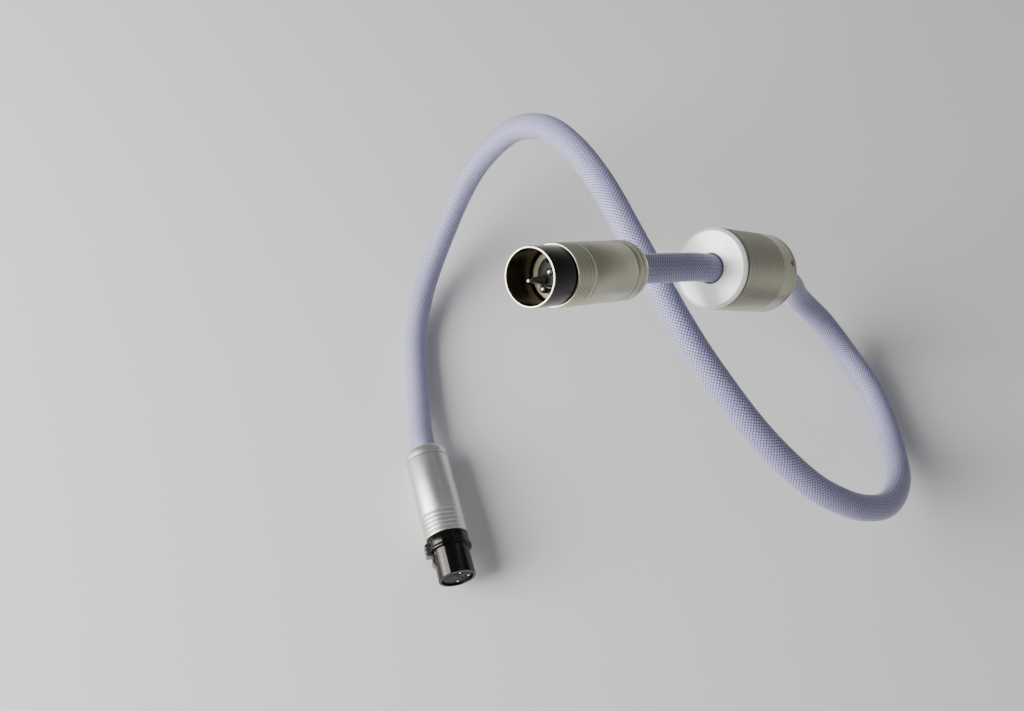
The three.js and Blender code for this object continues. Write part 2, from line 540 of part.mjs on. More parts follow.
// ---- Cable ----
function buildCable() {
  const along = (start, way, distance) => start.clone().addScaledVector(way, distance);
  const line = [
    along(FEMALE_BACK, FEMALE_WAY, FEMALE_GRIP), along(FEMALE_BACK, FEMALE_WAY, 0),
    along(FEMALE_BACK, FEMALE_WAY, -7),
    ...CABLE_LINE.map((p) => new THREE.Vector3(...p)),
    along(BARREL_BACK, BARREL_WAY, -9), along(BARREL_BACK, BARREL_WAY, -1),
    along(BARREL_BACK, BARREL_WAY, BARREL_LENGTH + 1), along(BARREL_BACK, BARREL_WAY, BARREL_LENGTH + 9),
    along(MALE_BACK, MALE_WAY, -8), along(MALE_BACK, MALE_WAY, 0), along(MALE_BACK, MALE_WAY, MALE_GRIP),
  ];
  const path = new THREE.CatmullRomCurve3(line, false, "centripetal");
  path.arcLengthDivisions = 2000;
  return named("cable", swept(CABLE_RADIUS, CABLE_SIDES, CABLE_STEPS, path), FINISH.braid);
}

const cable = new THREE.Group();
cable.add(buildFemale(), buildMale(), buildBarrel(), buildCable());
export default cable;
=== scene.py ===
"""Looks of a short braided microphone cable with a male plug, a latching socket and a filter barrel.

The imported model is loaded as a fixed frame, and each sub-assembly then builds finer pieces that
stand for its nodes. Sizes are in millimetres and are turned into metres where a mesh is made.
"""

import logging
import math
from dataclasses import dataclass, field
from enum import Enum

import bpy
import numpy as np
from mathutils import Matrix, Vector


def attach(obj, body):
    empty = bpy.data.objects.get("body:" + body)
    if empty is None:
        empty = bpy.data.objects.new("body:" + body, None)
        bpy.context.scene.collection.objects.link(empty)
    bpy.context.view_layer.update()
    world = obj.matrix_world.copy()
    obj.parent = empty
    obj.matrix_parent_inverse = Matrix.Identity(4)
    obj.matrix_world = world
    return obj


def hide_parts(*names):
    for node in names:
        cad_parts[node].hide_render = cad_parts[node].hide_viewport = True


log = logging.getLogger("microphone_cable")
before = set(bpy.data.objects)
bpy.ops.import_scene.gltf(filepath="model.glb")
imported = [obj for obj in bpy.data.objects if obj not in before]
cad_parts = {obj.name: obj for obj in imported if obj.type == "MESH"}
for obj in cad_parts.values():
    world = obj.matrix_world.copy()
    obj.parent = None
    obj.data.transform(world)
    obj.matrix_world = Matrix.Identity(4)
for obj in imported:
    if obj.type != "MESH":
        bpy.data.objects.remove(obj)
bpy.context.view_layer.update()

MM = 0.001
GAP = 0.3  # between neighbouring pieces, in millimetres
WELD = 1e-6  # points closer than this are one point, in metres
BODY = "cable_assembly"
LOCAL = "turned_mm"  # a point's place on its own axis, kept on every turned piece

Colour = tuple[float, float, float]
Outline = list[tuple[float, float]]
Point = tuple[float, float, float]


class Ends(Enum):
    """How the ends of a turned piece are closed."""

    LOOP = "the outline comes back to its start, round a hole"
    DISCS = "a disc at the bottom and a disc at the top"


class Hand(Enum):
    """The way that a braid's carriers turn along the cable."""

    RIGHT = 1
    LEFT = -1


# ---------------------------------------------------------------- node trees


class Graph:
    """Adds and joins the nodes of one node tree."""

    def __init__(self, tree: bpy.types.NodeTree) -> None:
        """Keeps the tree that the nodes go into."""
        self.tree = tree

    def add(self, kind: str, inputs: dict | None = None, **settings: object) -> bpy.types.Node:
        """Adds a node and fills its inputs.

        Args:
            kind: the node type, without its ShaderNode prefix where it has one.
            inputs: values or output sockets, by input name or index.
            settings: properties of the node.

        Returns:
            The new node.
        """
        name = kind if kind.startswith("NodeGroup") else f"ShaderNode{kind}"
        node = self.tree.nodes.new(name)
        for key, value in settings.items():
            setattr(node, key, value)
        for key, value in (inputs or {}).items():
            self.feed(node.inputs[key], value)
        return node

    def feed(self, socket: bpy.types.NodeSocket, value: object) -> None:
        """Joins an output to a socket, or sets the socket's own value."""
        if isinstance(value, bpy.types.NodeSocket):
            self.tree.links.new(value, socket)
        else:
            socket.default_value = value

    def maths(self, operation: str, a: object, b: object = 0.0, c: object = 0.0) -> bpy.types.NodeSocket:
        """Adds a Math node and returns its output."""
        return self.add("Math", {0: a, 1: b, 2: c}, operation=operation).outputs[0]

    def vector(self, operation: str, a: object, b: object = (0, 0, 0)) -> bpy.types.NodeSocket:
        """Adds a Vector Math node and returns its first output that the operation fills."""
        node = self.add("VectorMath", {0: a, 1: b}, operation=operation)
        return node.outputs["Value" if operation in ("LENGTH", "DOT_PRODUCT") else "Vector"]

    def ramp(self, value: object, low: float, high: float, to_low: float = 0.0,
             to_high: float = 1.0) -> bpy.types.NodeSocket:
        """Maps a value from one range to another, clamped, and returns the output."""
        return self.add("MapRange", {"Value": value, "From Min": low, "From Max": high,
                                     "To Min": to_low, "To Max": to_high}).outputs["Result"]

    def blend(self, factor: object, a: object, b: object) -> bpy.types.NodeSocket:
        """Mixes two colours and returns the result.

        Args:
            factor: how much of the second colour.
            a: the first colour.
            b: the second colour.

        Returns:
            The mixed colour's output.
        """
        node = self.add("Mix", data_type="RGBA")
        for index, value in ((0, factor), (6, a), (7, b)):
            colour = (*value, 1.0) if isinstance(value, tuple) and len(value) == 3 else value
            self.feed(node.inputs[index], colour)
        return node.outputs[2]

    def noise(self, place: object, scale: float, detail: float = 3.0,
              rough: float = 0.55) -> bpy.types.NodeSocket:
        """Adds a Noise Texture and returns its value."""
        return self.add("TexNoise", {"Vector": place, "Scale": scale, "Detail": detail,
                                     "Roughness": rough}).outputs[0]

    def scale(self, place: object, factor: object) -> bpy.types.NodeSocket:
        """Multiplies a vector by a number and returns the result."""
        return self.add("VectorMath", {0: place, "Scale": factor}, operation="SCALE").outputs[0]

    def group(self, tree: bpy.types.NodeTree, inputs: dict) -> bpy.types.bpy_prop_collection:
        """Adds a shared group with its inputs filled, and returns its outputs."""
        return self.add("Group", inputs, node_tree=tree).outputs

    def bump(self, shader: bpy.types.Node, height: object, strength: float, depth: float) -> None:
        """Gives a shader a relief of a depth in millimetres."""
        relief = self.add("Bump", {"Height": height, "Strength": strength, "Distance": depth * MM})
        self.feed(shader.inputs["Normal"], relief.outputs[0])


class EffectLibrary:
    """The node groups that several materials share, each made once."""

    def __init__(self) -> None:
        """Builds every group."""
        self.turned_grain = self._turned_grain()
        self.handling = self._handling()
        self.moulding = self._moulding()

    @staticmethod
    def _open(name: str, ins: dict[str, str],
              outs: dict[str, str]) -> tuple[Graph, bpy.types.Node, bpy.types.Node]:
        """Starts a group with named sockets.

        Args:
            name: the group's name.
            ins: socket types by input name.
            outs: socket types by output name.

        Returns:
            The group's graph, its input node and its output node.
        """
        tree = bpy.data.node_groups.new(name, "ShaderNodeTree")
        for label, kind in ins.items():
            tree.interface.new_socket(label, in_out="INPUT", socket_type=f"NodeSocket{kind}")
        for label, kind in outs.items():
            tree.interface.new_socket(label, in_out="OUTPUT", socket_type=f"NodeSocket{kind}")
        graph = Graph(tree)
        return graph, graph.add("NodeGroupInput"), graph.add("NodeGroupOutput")

    def _turned_grain(self) -> bpy.types.NodeTree:
        """Fine lines round an axis, as a lathe tool leaves on a side and on an end face.

        Returns:
            A group from Place, Lines per mm and Unevenness to Lines and Streak.
        """
        g, ins, outs = self._open("Turned grain",
                                  {"Place": "Vector", "Lines per mm": "Float", "Unevenness": "Float"},
                                  {"Lines": "Float", "Streak": "Float"})
        parts = g.add("SeparateXYZ", {0: ins.outputs["Place"]})
        flat = g.add("CombineXYZ", {0: parts.outputs[0], 1: parts.outputs[1]}).outputs[0]
        radius = g.vector("LENGTH", flat)
        drift = g.maths("MULTIPLY", g.noise(ins.outputs["Place"], 0.16, 2.0), ins.outputs["Unevenness"])
        ring = g.add("CombineXYZ", {0: radius, 1: parts.outputs[2], 2: drift}).outputs[0]
        scaled = g.scale(ring, ins.outputs["Lines per mm"])
        fine = g.noise(scaled, 1.0, 2.0, 0.6)
        broad = g.noise(g.vector("MULTIPLY", scaled, (0.17, 0.17, 0.17)), 1.0, 3.0)
        g.feed(outs.inputs["Lines"], fine)
        g.feed(outs.inputs["Streak"], broad)
        return g.tree

    def _handling(self) -> bpy.types.NodeTree:
        """Finger smudges and specks of dust.

        Returns:
            A group from Place, Smudge and Dust to Film and Specks.
        """
        g, ins, outs = self._open("Handling", {"Place": "Vector", "Smudge": "Float", "Dust": "Float"},
                                  {"Film": "Float", "Specks": "Float"})
        cloud = g.noise(ins.outputs["Place"], 0.11, 4.0, 0.6)
        film = g.maths("MULTIPLY", g.ramp(cloud, 0.42, 0.68), ins.outputs["Smudge"])
        cells = g.add("TexVoronoi", {"Vector": ins.outputs["Place"], "Scale": 0.9, "Randomness": 1.0})
        speck = g.ramp(cells.outputs["Distance"], 0.09, 0.05)
        thin = g.ramp(g.noise(ins.outputs["Place"], 0.35, 1.0), 0.5, 0.6)
        g.feed(outs.inputs["Film"], film)
        g.feed(outs.inputs["Specks"],
               g.maths("MULTIPLY", g.maths("MULTIPLY", speck, thin), ins.outputs["Dust"]))
        return g.tree

    def _moulding(self) -> bpy.types.NodeTree:
        """The fine matt texture and slow flow marks of a moulded or sintered piece.

        Returns:
            A group from Place and Grain per mm to Grain and Flow.
        """
        g, ins, outs = self._open("Moulding", {"Place": "Vector", "Grain per mm": "Float"},
                                  {"Grain": "Float", "Flow": "Float"})
        scaled = g.scale(ins.outputs["Place"], ins.outputs["Grain per mm"])
        g.feed(outs.inputs["Grain"], g.noise(scaled, 1.0, 4.0, 0.65))
        g.feed(outs.inputs["Flow"], g.noise(ins.outputs["Place"], 0.25, 2.0))
        return g.tree


# ---------------------------------------------------------------- finishes


def new_material(name: str) -> tuple[bpy.types.Material, Graph, bpy.types.Node]:
    """Makes a node material.

    Args:
        name: the material's name.

    Returns:
        The material, its graph and its Principled BSDF.
    """
    made = bpy.data.materials.new(name)
    made.use_nodes = True
    shader = made.node_tree.nodes["Principled BSDF"]
    return made, Graph(made.node_tree), shader


def own_place(graph: Graph, turned: bool) -> bpy.types.NodeSocket:
    """Where a point lies, in millimetres.

    Args:
        graph: the material's graph.
        turned: whether the piece keeps its place on its own axis.

    Returns:
        The output socket of the place.
    """
    if turned:
        return graph.add("Attribute", attribute_name=LOCAL).outputs["Vector"]
    return graph.scale(graph.add("TexCoord").outputs["Object"], 1 / MM)


@dataclass(frozen=True)
class TurnedMetal:
    """A turned metal, plated, polished or anodised."""

    name: str
    colour: Colour
    shade: Colour
    roughness: float
    lines_per_mm: float = 9.0
    line_depth: float = 0.004
    smudge: float = 0.5
    dust: float = 0.3
    metallic: float = 1.0
    turned: bool = True

    def build(self, effects: EffectLibrary) -> bpy.types.Material:
        """Makes the material.

        Args:
            effects: the shared node groups.

        Returns:
            The material.
        """
        made, g, shader = new_material(self.name)
        place = own_place(g, self.turned)
        grain = g.group(effects.turned_grain,
                        {"Place": place, "Lines per mm": self.lines_per_mm, "Unevenness": 0.4})
        hands = g.group(effects.handling, {"Place": place, "Smudge": self.smudge, "Dust": self.dust})
        lines, streak = grain["Lines"], grain["Streak"]
        base = g.blend(g.ramp(streak, 0.3, 0.7, 0.2, 1.0), self.shade, self.colour)
        base = g.blend(g.ramp(lines, 0.35, 0.65, 0.0, 0.25), base, self.shade)
        base = g.blend(g.maths("MULTIPLY", hands["Specks"], 0.5), base, (0.75, 0.73, 0.7))
        g.feed(shader.inputs["Base Color"], base)
        rough = g.maths("MULTIPLY_ADD", lines, 0.12, self.roughness - 0.06)
        rough = g.maths("MULTIPLY_ADD", hands["Film"], 0.16, rough)
        g.feed(shader.inputs["Roughness"], g.maths("MULTIPLY_ADD", hands["Specks"], 0.4, rough))
        shader.inputs["Metallic"].default_value = self.metallic
        g.bump(shader, lines, 0.5, self.line_depth)
        return made


@dataclass(frozen=True)
class Moulded:
    """A moulded plastic, a rubber or a sintered piece."""

    name: str
    colour: Colour
    fleck: Colour
    roughness: float
    grain_per_mm: float = 6.0
    grain_depth: float = 0.02
    metallic: float = 0.0
    turned: bool = False
    gloss: float = 0.5

    def build(self, effects: EffectLibrary) -> bpy.types.Material:
        """Makes the material.

        Args:
            effects: the shared node groups.

        Returns:
            The material.
        """
        made, g, shader = new_material(self.name)
        shader.inputs["Specular IOR Level"].default_value = self.gloss
        place = own_place(g, self.turned)
        mould = g.group(effects.moulding, {"Place": place, "Grain per mm": self.grain_per_mm})
        hands = g.group(effects.handling, {"Place": place, "Smudge": 0.3, "Dust": 0.4})
        base = g.blend(g.ramp(mould["Grain"], 0.4, 0.75), self.colour, self.fleck)
        base = g.blend(g.ramp(mould["Flow"], 0.35, 0.65, 0.0, 0.3), base, self.colour)
        base = g.blend(g.maths("MULTIPLY", hands["Specks"], 0.5), base, (0.6, 0.6, 0.58))
        g.feed(shader.inputs["Base Color"], base)
        rough = g.maths("MULTIPLY_ADD", mould["Grain"], 0.2, self.roughness - 0.1)
        g.feed(shader.inputs["Roughness"], g.maths("MULTIPLY_ADD", hands["Film"], -0.12, rough))
        shader.inputs["Metallic"].default_value = self.metallic
        g.bump(shader, mould["Grain"], 0.6, self.grain_depth)
        return made


@dataclass(frozen=True)
class BraidYarn:
    """Clear and white filaments plaited over a lavender jacket."""

    name: str = "lavender_braid"
    crown: Colour = (0.24, 0.225, 0.47)
    # painted shade: a darker copy of the crown colour for where the carrier dips under the other hand
    dip_shade: Colour = (0.07, 0.062, 0.20)
    # painted highlight: the pale colour goes on the top middle of each crossing, where the carrier lies over
    # the other
    pale: Colour = (0.86, 0.86, 0.93)
    filaments: float = 5.0
    filament_depth: float = 0.05

    def build(self, effects: EffectLibrary) -> bpy.types.Material:
        """Makes the material, which reads the carriers' own map and attributes.

        Args:
            effects: the shared node groups.

        Returns:
            The material.
        """
        made, g, shader = new_material(self.name)
        split = g.add("SeparateXYZ", {0: g.add("UVMap", uv_map="carrier").outputs[0]})
        across, along = split.outputs[0], split.outputs[1]
        wave = g.maths("SINE", g.maths("MULTIPLY", across, math.tau * self.filaments))
        ridge = g.ramp(wave, -1.0, 1.0)
        lift = g.add("Attribute", attribute_name="lift").outputs["Fac"]
        lane = g.add("Attribute", attribute_name="lane").outputs["Fac"]
        slow = g.noise(g.add("CombineXYZ", {0: along, 1: lane}).outputs[0], 0.05, 2.0)
        # painted shade: the carrier darkens towards the dip colour where it sinks under the other hand
        base = g.blend(g.ramp(lift, 0.15, 0.85), self.dip_shade, self.crown)
        middle = g.maths("SUBTRACT", 1.0, g.maths("ABSOLUTE", g.maths("MULTIPLY_ADD", across, 2.0, -1.0)))
        # painted highlight: a pale dot at the top middle of each crossing, where the carrier lies over the
        # other
        highlight_mask = g.maths("MULTIPLY", g.ramp(lift, 0.55, 0.95), g.ramp(middle, 0.1, 0.7))
        base = g.blend(g.maths("MULTIPLY", highlight_mask, g.ramp(ridge, 0.0, 1.0, 0.7, 1.0)), base, self.pale)
        base = g.blend(g.ramp(slow, 0.45, 0.7, 0.0, 0.3), base, self.crown)
        hands = g.group(effects.handling, {"Place": own_place(g, False), "Smudge": 0.6, "Dust": 0.3})
        base = g.blend(g.maths("MULTIPLY", hands["Film"], 0.25), base, (0.26, 0.25, 0.45))
        g.feed(shader.inputs["Base Color"], base)
        g.feed(shader.inputs["Roughness"], g.ramp(ridge, 0.0, 1.0, 0.42, 0.28))
        shader.inputs["Coat Weight"].default_value = 0.5
        shader.inputs["Coat Roughness"].default_value = 0.3
        shader.inputs["Sheen Weight"].default_value = 0.15
        g.bump(shader, ridge, 0.5, self.filament_depth)
        return made


class Finishes:
    """Every material of the object, by name."""

    TABLE: dict[str, object] = {
        "satin_aluminium": TurnedMetal("satin_sleeve", (0.55, 0.545, 0.405), (0.48, 0.475, 0.355), 0.31),
        "cool_aluminium": TurnedMetal("cool_sleeve", (0.72, 0.735, 0.68), (0.63, 0.645, 0.595), 0.36),
        "barrel_aluminium": TurnedMetal("barrel_body", (0.50, 0.495, 0.38), (0.44, 0.435, 0.335), 0.3, 8.0,
                                        0.003),
        # painted highlight: the front cap's near-white tone stands in for the glare on its lit face
        "front_cap_painted_glare": TurnedMetal("front_cap_glare_finish", (0.93, 0.92, 0.88), (0.88, 0.87, 0.83), 0.45, 10.0, 0.003,
                                   metallic=0.5),
        "black_nickel": TurnedMetal("black_nickel", (0.05, 0.046, 0.041), (0.034, 0.031, 0.028), 0.1, 14.0,
                                    0.001, 0.4),
        # painted highlight: a lighter tone for the shell's rolled rim, where its chamfer catches the light
        "rim_painted_glint": TurnedMetal("rim_painted_glint", (0.52, 0.47, 0.36), (0.40, 0.36, 0.27), 0.2, 12.0, 0.001),
        # painted reflection: a golden-brown tone for the inside of the shell near the insulator
        "bore_painted_reflection": TurnedMetal("bore_painted_reflection", (0.16, 0.132, 0.088), (0.10, 0.083, 0.055), 0.2, 8.0, 0.002),
        # painted reflection: the latch's bright nickel gets a dark tone that stands in for dark surroundings
        # mirrored in it
        "bright_nickel": TurnedMetal("bright_nickel", (0.26, 0.25, 0.235), (0.18, 0.175, 0.165), 0.14, 12.0,
                                     0.001),
        # the ring's own bronze colour, raised to a pale cream with little metal as painted light inside the
        # shaded socket
        "bronze_ring": TurnedMetal("bronze_ring", (0.80, 0.74, 0.54), (0.66, 0.60, 0.43), 0.36, 10.0, 0.003,
                                   metallic=0.35),
        # painted reflection: the contacts' chrome gets a dark tone that stands in for dark surroundings
        # mirrored in it
        "contact_metal": TurnedMetal("contact_metal", (0.36, 0.355, 0.34), (0.25, 0.245, 0.235), 0.07, 12.0,
                                     0.001),
        "socket_face": Moulded("socket_face", (0.008, 0.008, 0.009), (0.014, 0.014, 0.015), 0.3, turned=True,
                               gloss=0.12),
        "spring_steel": TurnedMetal("spring_steel", (0.6, 0.6, 0.61), (0.42, 0.42, 0.43), 0.28, 9.0, 0.002,
                                    turned=False),
        "screw_steel": TurnedMetal("screw_steel", (0.72, 0.72, 0.7), (0.5, 0.5, 0.48), 0.22, 9.0, 0.002),
        "insulator": Moulded("insulator", (0.045, 0.05, 0.047), (0.075, 0.08, 0.075), 0.5, turned=True),
        "clamp_plastic": Moulded("clamp_plastic", (0.05, 0.05, 0.055), (0.08, 0.08, 0.085), 0.55),
        "bush_rubber": Moulded("bush_rubber", (0.02, 0.02, 0.022), (0.035, 0.035, 0.036), 0.75),
        "ferrite": Moulded("ferrite", (0.045, 0.045, 0.05), (0.075, 0.075, 0.08), 0.65, 9.0, 0.03, 0.2),
        "wire_red": Moulded("wire_red", (0.42, 0.03, 0.025), (0.5, 0.05, 0.04), 0.35, 3.0, 0.01),
        "wire_white": Moulded("wire_white", (0.72, 0.71, 0.68), (0.8, 0.79, 0.76), 0.35, 3.0, 0.01),
        "wire_green": Moulded("wire_green", (0.04, 0.2, 0.08), (0.06, 0.26, 0.11), 0.35, 3.0, 0.01),
        # the jacket's own violet, darkened further as painted shade where it shows in the gaps between the
        # carriers
        "jacket": Moulded("lavender_jacket", (0.05, 0.042, 0.16), (0.075, 0.065, 0.21), 0.5, 4.0, 0.02),
        "braid": BraidYarn(),
    }

    def __init__(self) -> None:
        """Builds the shared groups, then each material once."""
        effects = EffectLibrary()
        self.made = {slot: finish.build(effects) for slot, finish in self.TABLE.items()}

    def dress(self, piece: bpy.types.Object, slot: str) -> None:
        """Gives a piece one of the materials."""
        piece.data.materials.clear()
        piece.data.materials.append(self.made[slot])

    def dress_node(self, node: str, slot: str) -> None:
        """Puts a material in every slot of a CAD node, whose mesh is left alone.

        Args:
            node: the node's name.
            slot: the material's name.
        """
        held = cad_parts[node]
        if not held.material_slots:
            held.data.materials.append(self.made[slot])
        for place in held.material_slots:
            place.material = self.made[slot]


# ---------------------------------------------------------------- modelling tools


def deselect_all() -> None:
    """Leaves object mode with nothing selected."""
    if bpy.context.object and bpy.context.object.mode != "OBJECT":
        bpy.ops.object.mode_set(mode="OBJECT")
    bpy.ops.object.select_all(action="DESELECT")


def select_only(piece: bpy.types.Object) -> None:
    """Selects one piece and makes it active.

    Args:
        piece: the piece.
    """
    deselect_all()
    piece.select_set(True)
    bpy.context.view_layer.objects.active = piece


def edit_all() -> None:
    """Goes into edit mode with every vertex of the active piece selected."""
    bpy.ops.object.mode_set(mode="EDIT")
    bpy.ops.mesh.select_mode(type="VERT")
    bpy.ops.mesh.select_all(action="SELECT")


def face_outwards(weld: bool = False) -> None:
    """Points every face of the piece in edit mode outwards, and goes back to object mode.

    Args:
        weld: whether points that lie together are merged first.
    """
    bpy.ops.mesh.select_all(action="SELECT")
    if weld:
        bpy.ops.mesh.remove_doubles(threshold=WELD)
    bpy.ops.mesh.normals_make_consistent(inside=False)
    bpy.ops.object.mode_set(mode="OBJECT")


def mesh_piece(name: str, spots: np.ndarray, faces: list[list[int]]) -> bpy.types.Object:
    """Makes a piece of points in millimetres and faces, and selects it.

    Args:
        name: the piece's name.
        spots: the points, one to a row.
        faces: the points of each face.

    Returns:
        The piece.
    """
    mesh = bpy.data.meshes.new(name)
    mesh.from_pydata((spots * MM).tolist(), [], faces)
    piece = bpy.data.objects.new(name, mesh)
    bpy.context.collection.objects.link(piece)
    select_only(piece)
    return piece


def eased(outline: Outline, radius: float = 0.2, steps: int = 3, closed: bool = True) -> Outline:
    """Rounds the corners of an outline.

    Args:
        outline: corners in order, as radius and height.
        radius: how far each rounding reaches along its sides.
        steps: facets in each rounding.
        closed: whether the last corner joins the first.

    Returns:
        The corners of the rounded outline.
    """
    out: Outline = []
    for i, corner in enumerate(outline):
        if not closed and i in (0, len(outline) - 1):
            out.append(corner)
            continue
        here = Vector(corner)
        back = Vector(outline[i - 1]) - here
        ahead = Vector(outline[(i + 1) % len(outline)]) - here
        if math.pi - back.angle(ahead) < math.radians(20):
            out.append(corner)
            continue
        reach = min(radius, back.length * 0.45, ahead.length * 0.45)
        start, end = here + back.normalized() * reach, here + ahead.normalized() * reach
        for k in range(steps + 1):
            t = k / steps
            out.append(tuple((1 - t) ** 2 * start + 2 * t * (1 - t) * here + t * t * end))
    return out


def quarter(from_radius: float, to_radius: float, from_z: float, to_z: float, steps: int = 9) -> Outline:
    """A quarter round that bulges outwards.

    Args:
        from_radius: radius where it starts.
        to_radius: radius where it ends.
        from_z: height where it starts.
        to_z: height where it ends.
        steps: facets.

    Returns:
        Its corners.
    """
    turns = [k / steps * math.pi / 2 for k in range(steps + 1)]
    return [(from_radius + (to_radius - from_radius) * math.sin(t),
             from_z + (to_z - from_z) * (1 - math.cos(t)))
            for t in turns]


def groove(radius: float, depth: float, width: float, z: float) -> Outline:
    """A turned groove with a round bottom and soft lips, up an outside."""
    half = width / 2
    return [(radius, z - half * 1.5), (radius - depth * 0.12, z - half),
            (radius - depth * 0.8, z - half * 0.45),
            (radius - depth, z), (radius - depth * 0.8, z + half * 0.45), (radius - depth * 0.12, z + half),
            (radius, z + half * 1.5)]


def turn_piece(name: str, outline: Outline, ends: Ends = Ends.LOOP, sides: int = 128) -> bpy.types.Object:
    """Turns a piece about +Z, ring by ring, as on a lathe.

    Args:
        name: the piece's name.
        outline: radius and height of each ring, up the outside first.
        ends: how the ends are closed.
        sides: facets round the axis.

    Returns:
        The piece, at the world's origin.
    """
    deselect_all()
    radius, height = outline[0]
    fill = "NGON" if ends is Ends.DISCS else "NOTHING"
    bpy.ops.mesh.primitive_circle_add(vertices=sides, radius=radius * MM, fill_type=fill, location=(0, 0, 0))
    piece = bpy.context.object
    piece.name = piece.data.name = name
    edit_all()
    bpy.ops.transform.translate(value=(0, 0, height * MM))
    following = outline[1:] + (outline[:1] if ends is Ends.LOOP else [])
    for next_radius, next_height in following:
        bpy.ops.mesh.extrude_region_move(
            TRANSFORM_OT_translate={"value": (0, 0, (next_height - height) * MM)})
        if abs(next_radius - radius) > 1e-6:
            ratio = next_radius / radius
            bpy.ops.transform.resize(value=(ratio, ratio, 1), center_override=(0, 0, next_height * MM))
        radius, height = next_radius, next_height
    face_outwards(weld=True)
    return piece


def profile_piece(name: str, outline: Outline, thickness: float) -> bpy.types.Object:
    """Draws a side outline corner by corner, fills it and pulls it to a thickness.

    Args:
        name: the piece's name.
        outline: corners as height along +Z and reach along +X.
        thickness: size along Y, half to each side.

    Returns:
        The piece, at the world's origin.
    """
    deselect_all()
    bpy.ops.mesh.primitive_plane_add(size=MM, location=(0, 0, 0))
    piece = bpy.context.object
    piece.name = piece.data.name = name
    edit_all()
    bpy.ops.mesh.merge(type="CENTER")
    along, reach = outline[0]
    bpy.ops.transform.translate(value=(reach * MM, -thickness / 2 * MM, along * MM))
    for next_along, next_reach in outline[1:] + outline[:1]:
        step = ((next_reach - reach) * MM, 0, (next_along - along) * MM)
        bpy.ops.mesh.extrude_region_move(TRANSFORM_OT_translate={"value": step})
        along, reach = next_along, next_reach
    bpy.ops.mesh.select_all(action="SELECT")
    bpy.ops.mesh.remove_doubles(threshold=WELD)
    bpy.ops.mesh.edge_face_add()
    bpy.ops.mesh.extrude_region_move(TRANSFORM_OT_translate={"value": (0, thickness * MM, 0)})
    face_outwards()
    return piece


def block(centre: Point, size: Point) -> bpy.types.Object:
    """Adds a box that cuts another piece, at a place and size in millimetres.

    Args:
        centre: its middle.
        size: its width along X, Y and Z.

    Returns:
        The box.
    """
    deselect_all()
    bpy.ops.mesh.primitive_cube_add(size=1, location=[c * MM for c in centre], scale=[s * MM for s in size])
    bpy.ops.object.transform_apply(location=True, rotation=True, scale=True)
    return bpy.context.object


def rod(centre: Point, radius: float, length: float, way: str = "Z", sides: int = 48) -> bpy.types.Object:
    """Adds a round bar that cuts another piece, along one of the axes.

    Args:
        centre: its middle, in millimetres.
        radius: in millimetres.
        length: in millimetres.
        way: the axis that it lies along.
        sides: how many flats it is made of.

    Returns:
        The bar.
    """
    deselect_all()
    turn = {"Z": (0, 0, 0), "X": (0, math.pi / 2, 0), "Y": (math.pi / 2, 0, 0)}[way]
    bpy.ops.mesh.primitive_cylinder_add(vertices=sides, radius=radius * MM, depth=length * MM,
                                        location=[c * MM for c in centre], rotation=turn)
    bpy.ops.object.transform_apply(location=True, rotation=True, scale=True)
    return bpy.context.object


def cut_away(piece: bpy.types.Object, *cutters: bpy.types.Object) -> None:
    """Takes each cutter's room out of a piece and deletes the cutter."""
    for cutter in cutters:
        select_only(piece)
        step = piece.modifiers.new("cut", "BOOLEAN")
        step.object, step.operation, step.solver = cutter, "DIFFERENCE", "EXACT"
        bpy.ops.object.modifier_apply(modifier=step.name)
        bpy.data.objects.remove(cutter)


def break_edges(piece: bpy.types.Object, width: float, degrees: float = 40.0) -> None:
    """Rounds a piece's sharp edges by a small width.

    Args:
        piece: the piece.
        width: how far the rounding reaches, in millimetres.
        degrees: the least turn between two faces that counts as sharp.
    """
    select_only(piece)
    step = piece.modifiers.new("edges", "BEVEL")
    step.width, step.segments, step.limit_method = width * MM, 2, "ANGLE"
    step.angle_limit = math.radians(degrees)
    bpy.ops.object.modifier_apply(modifier=step.name)


@dataclass
class Station:
    """Where a sub-assembly's axis starts, the way it points, and its roll from straight up."""

    start: Point
    way: Point
    roll: float = 0.0

    def matrix(self) -> Matrix:
        """The turn and place of the station, in metres, with +Z along its way.

        Returns:
            The matrix.
        """
        way = Vector(self.way).normalized()
        up = (Vector((0, 0, 1)) - way * way.z).normalized()
        up.rotate(Matrix.Rotation(math.radians(self.roll), 3, way))
        side = way.cross(up)
        turn = Matrix((up, side, way)).transposed().to_4x4()
        return Matrix.Translation(Vector(self.start) * MM) @ turn

    def along(self, distance: float) -> Vector:
        """A point on the axis, in millimetres."""
        return Vector(self.start) + Vector(self.way).normalized() * distance

    def seat(self, piece: bpy.types.Object) -> None:
        """Keeps each point's place on the axis, smooths the piece and puts it in its place.

        Args:
            piece: a piece that still lies along the world's Z axis.
        """
        mesh = piece.data
        spots = np.empty(len(mesh.vertices) * 3)
        mesh.vertices.foreach_get("co", spots)
        kept = mesh.attributes.new(LOCAL, "FLOAT_VECTOR", "POINT")
        kept.data.foreach_set("vector", spots / MM)
        select_only(piece)
        bpy.ops.object.shade_smooth_by_angle(angle=math.radians(32))
        piece.matrix_world = self.matrix()
        bpy.ops.object.transform_apply(location=True, rotation=True, scale=True)


